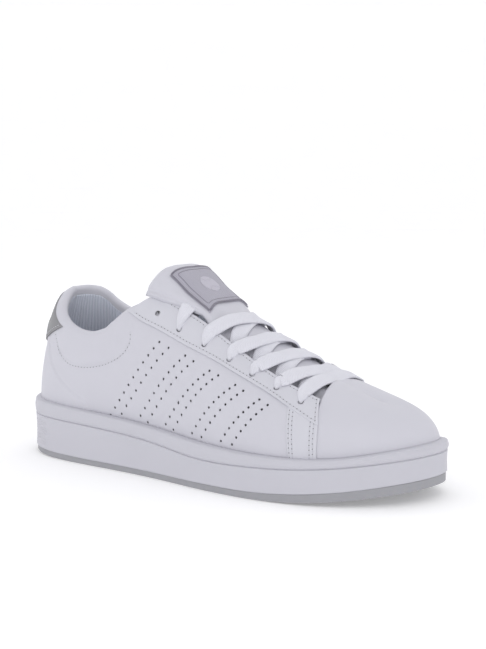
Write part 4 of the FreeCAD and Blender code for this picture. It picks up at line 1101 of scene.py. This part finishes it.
def makeStrap(name, points, normals, widths, nodes, folds=None, slot="lace_weave", body="shoe", samples=90):
    # a flat woven band along a smooth path: rounded section, bunched where it is narrow, edges a little raised
    path = throughPoints(np.array(points), samples)
    knots = np.linalg.norm(np.array(points)[:, None] - path[None], axis=2).argmin(1) / (samples - 1.0)
    knots[0], knots[-1] = 0, 1
    t = np.linspace(0, 1, samples)
    pick = lambda a: np.stack([np.interp(t, knots, np.array(a)[:, k]) for k in range(3)], 1)
    along = unit(np.gradient(path, axis=0))
    up = pick(normals)
    for _ in range(6):
        up[1:-1] = (up[:-2] + 2 * up[1:-1] + up[2:]) / 4
    up = unit(up - along * (up * along).sum(1, keepdims=True))
    across = np.cross(along, up)
    width = np.interp(t, knots, widths)
    for _ in range(8):
        width[1:-1] = (width[:-2] + 2 * width[1:-1] + width[2:]) / 4
    bunch = np.clip(1 - width / lace["width"], 0, 1)[:, None]
    a = (np.arange(lace["around"]) + 0.5) * 2 * np.pi / lace["around"]
    x = np.sign(np.cos(a)) * np.abs(np.cos(a)) ** 0.6
    y = np.sign(np.sin(a)) * np.abs(np.sin(a)) ** 0.8
    sideways = x[None] * (width / 2)[:, None]
    thick = lace["half"] * (1 + 0.9 * bunch)
    ripple = 0.3 * np.sin(2 * np.pi * (3 * t[:, None] + 0.4 * x[None]))
    lift = y[None] * thick * (0.9 + 0.25 * np.abs(x[None]) ** 3) - bunch * 2.4 * x[None] ** 2 + ripple * (1 - bunch) * np.sin(np.pi * t)[:, None]
    points3 = path[:, None] + across[:, None] * sideways[..., None] + up[:, None] * lift[..., None]
    run = np.concatenate([[0], np.cumsum(np.linalg.norm(np.diff(path, axis=0), axis=1))]) / 10
    uv = np.stack([np.broadcast_to(run[:, None], sideways.shape), np.broadcast_to(x[None] * 0.4, sideways.shape)], 2)
    count = lace["around"]
    caps = [list(range(count)), list(range((samples - 1) * count, samples * count))[::-1]]
    return addPiece(name, points3, gridFaces(samples, count, wrapColumns=True), [laceWeave], nodes=nodes, slot=slot, body=body, uv=uv, extraFaces=caps)


def tongueAt(u, across, lift):
    middle = upperAt(u, 0.66, tongueShape["layer"])[0]
    return onTongue(rowAtX(middle), across, np.float64(lift))


def makeCrossing(index, side, lift, label):
    u0, v0 = seams["eyelets"][index]
    u1, v1 = seams["eyelets"][index + 1]
    step = u1 - u0
    places = [
        seat(u0, v0 - 0.002, side, -1.0), seat(u0, v0 + 0.004, side, 1.1),
        seat(u0 - 0.01, v0 + 0.028, side, lace["over"] - 0.2), seat(u0 + step * 0.04, v0 + 0.07, side, lace["over"]),
        seat(u0 + step * 0.12, throatLevel(u0 + step * 0.12) - 0.01, side, lace["over"] + 0.2),
        tongueAt(u0 + step * 0.3, 0.28 * side, lift + 0.8), tongueAt(u0 + step * 0.5, 0.0, lift), tongueAt(u0 + step * 0.66, -0.25 * side, lift),
        seat(u0 + step * 0.86, throatLevel(u0 + step * 0.86) + 0.005, -side, lace["under"]), seat(u1 + 0.02, v1, -side, lace["under"]),
    ]
    w = lace["width"]
    widths = [2.6, 3.2, 5.6, 8.8, w, w, w, w, w * 0.95, w * 0.8]
    makeStrap(label, [p for p, n in places], [n for p, n in places], widths, ["lace_cross_%d_%s" % (index, "outer" if side < 0 else "inner")])


for index in (5, 4, 3, 2):
    makeCrossing(index, 1, lace["rest"], "laceCross%dInner" % index)
    makeCrossing(index, -1, lace["rest"] + lace["stack"], "laceCross%dOuter" % index)


def makeToeBar():
    u, v = seams["eyelets"][-1]
    edge = throatLevel(u) - 0.01
    rest = lace["rest"]
    places = [seat(u, v, -1, -1.0), seat(u, v + 0.004, -1, 1.1), seat(u, v + 0.03, -1, lace["over"] - 0.1), seat(u, edge, -1, lace["over"]),
              tongueAt(u, -0.25, rest + 2.2), tongueAt(u, 0.0, rest + 2.3), tongueAt(u, 0.25, rest + 2.8),
              seat(u, edge, 1, lace["over"]), seat(u, v + 0.03, 1, lace["over"] - 0.1), seat(u, v + 0.004, 1, 1.1), seat(u, v, 1, -1.0)]
    w = lace["width"]
    makeStrap("laceToeBar", [p for p, n in places], [n for p, n in places], [2.6, 3.0, 4.8, w * 0.9, w, w, w, w * 0.9, 4.8, 3.0, 2.6], ["lace_toe_bar"])


makeToeBar()


def makeLaceEnds(side, name):
    # the last laced eyelet: out of the hole, over the edge, and down inside
    u, v = seams["eyelets"][1]
    deep = lace["under"] - 1.6
    middle = (lace["over"] + deep) / 2
    radius = (lace["over"] - deep) / 2
    edge, normal = seat(u, throatLevel(u), side, middle)
    ahead = seat(u + 0.05, throatLevel(u + 0.05), side, middle)[0]
    rise = unit(np.cross(normal, ahead - edge))
    rise = rise if rise[2] > 0 else -rise
    places = [seat(u, v, side, -1.0), seat(u, v + 0.004, side, 1.1), seat(u, v + 0.03, side, lace["over"] - 0.2), seat(u, v + 0.075, side, lace["over"])]
    for angle in (0, 45, 90, 135, 180):
        spoke = normal * math.cos(math.radians(angle)) + rise * math.sin(math.radians(angle))
        places.append((edge + spoke * radius, spoke))
    endPoint, endNormal = seat(u + 0.02, v + 0.01, side, deep)
    places.append((endPoint, -endNormal))
    w = lace["width"]
    makeStrap("laceEnd" + name.title(), [p for p, n in places], [n for p, n in places], [2.6, 3.0, 4.8, 7.4, w, w, w, w, w * 0.9, 3.2], ["lace_end_" + name])
    (uLow, vLow), (uHigh, vHigh) = seams["eyelets"][2], seams["eyelets"][1]
    runPlaces = [seat(uLow + (uHigh - uLow) * f, vLow + (vHigh - vLow) * f, side, lace["under"]) for f in np.linspace(0, 1, 5)]
    makeStrap("laceRun" + name.title(), [p for p, n in runPlaces], [n for p, n in runPlaces], [w] * 5, ["lace_run_" + name], samples=40)


def makeTurns(side, name):
    # the bunched stretch of lace inside each eyelet, a waisted plug
    rings, around = 7, 12
    t = np.linspace(0, 1, rings)[:, None]
    a = (np.arange(around) * 2 * np.pi / around)[None, :]
    points, faces, caps = [], [], []
    for k, (u, v) in enumerate(seams["eyelets"][1:]):
        base, normal = seat(u, v, side, 0.0)
        along = unit(seat(u + 0.05, v, side, 0.0)[0] - seat(u - 0.05, v, side, 0.0)[0])
        across = np.cross(normal, along)
        r = 1.35 - 0.2 * np.sin(np.pi * t)
        height = -3.2 + 2.6 * t
        ring = base + (np.cos(a) * r)[..., None] * along + (np.sin(a) * r * 0.75)[..., None] * across + height[..., None] * np.ones((1, around, 1)) * normal
        start = k * rings * around
        points.append(ring.reshape(-1, 3))
        faces.append(gridFaces(rings, around, wrapColumns=True) + start)
        caps += [list(range(start, start + around)), list(range(start + (rings - 1) * around, start + rings * around))[::-1]]
    uv = np.tile(np.stack([np.broadcast_to(t, (rings, around)) * 0.3, np.broadcast_to(np.cos(a) * 0.12, (rings, around))], 2).reshape(-1, 2), (6, 1))
    addPiece("laceTurns" + name.title(), np.concatenate(points), np.concatenate(faces), [laceWeave], nodes=["lace_turns_" + name], slot="lace_weave", uv=uv, extraFaces=caps)


for side, name in ((-1, "outer"), (1, "inner")):
    makeLaceEnds(side, name)
    makeTurns(side, name)
print("laces made")

# ------------------------------------------------------------ floor and light
studio = {"wall": 5.0, "world": 0.72, "key": 3.0, "fill": 0.6, "top": 2.0, "glow": 0.2}
floorMesh = bpy.data.meshes.new("floor")
# a round floor that curves up into a wall all about, one sheet
turnAt, bend = 2.6, 1.4
a = np.linspace(0, np.pi / 2, 13)
spread = np.concatenate([[0.02, 0.5], turnAt + bend * np.sin(a), [turnAt + bend]])[:, None]
heightLine = np.concatenate([[0.0, 0.0], bend * (1 - np.cos(a)), [studio["wall"]]])[:, None] - 0.0002
around = (np.arange(64) * 2 * np.pi / 64)[None, :]
bowl = np.stack([spread * np.cos(around), spread * np.sin(around), heightLine + 0 * around], 2)
floorMesh.from_pydata(bowl.reshape(-1, 3).tolist(), [], gridFaces(len(spread), 64, wrapColumns=True)[:, ::-1].tolist() + [list(range(64))])
floor = bpy.data.objects.new("floor", floorMesh)
bpy.context.scene.collection.objects.link(floor)
floorLook, floorTree, floorShader, _ = startFinish("paleFloor", 0.9, Specular_IOR_Level=0.0)
floorShader.inputs["Base Color"].default_value = rgb(0.90, 0.90, 0.905)
floorShader.inputs["Emission Color"].default_value = rgb(1, 1, 1)
floorShader.inputs["Emission Strength"].default_value = studio["glow"]
floorMesh.materials.append(floorLook)

world = bpy.data.worlds.new("studio")
world.use_nodes = True
world.node_tree.nodes["Background"].inputs[0].default_value = rgb(1.0, 1.0, 1.02)
world.node_tree.nodes["Background"].inputs[1].default_value = studio["world"]
bpy.context.scene.world = world
bpy.context.scene.view_settings.view_transform = "Standard"


def addLight(name, place, aim, size, power):
    light = bpy.data.lights.new(name, "AREA")
    light.shape, light.size, light.energy = "DISK", size, power
    holder = bpy.data.objects.new(name, light)
    holder.location = place
    holder.rotation_mode = "QUATERNION"
    holder.rotation_quaternion = (Vector(aim) - Vector(place)).to_track_quat("-Z", "Y")
    bpy.context.scene.collection.objects.link(holder)


addLight("keyLight", (0.9, -1.2, 1.3), (0, 0, 0.05), 0.9, studio["key"])
addLight("fillLight", (-1.3, -0.9, 0.8), (0, 0, 0.05), 1.0, studio["fill"])
addLight("topLight", (-0.2, 0.6, 1.7), (0, 0, 0.05), 1.2, studio["top"])
print("studio ready")
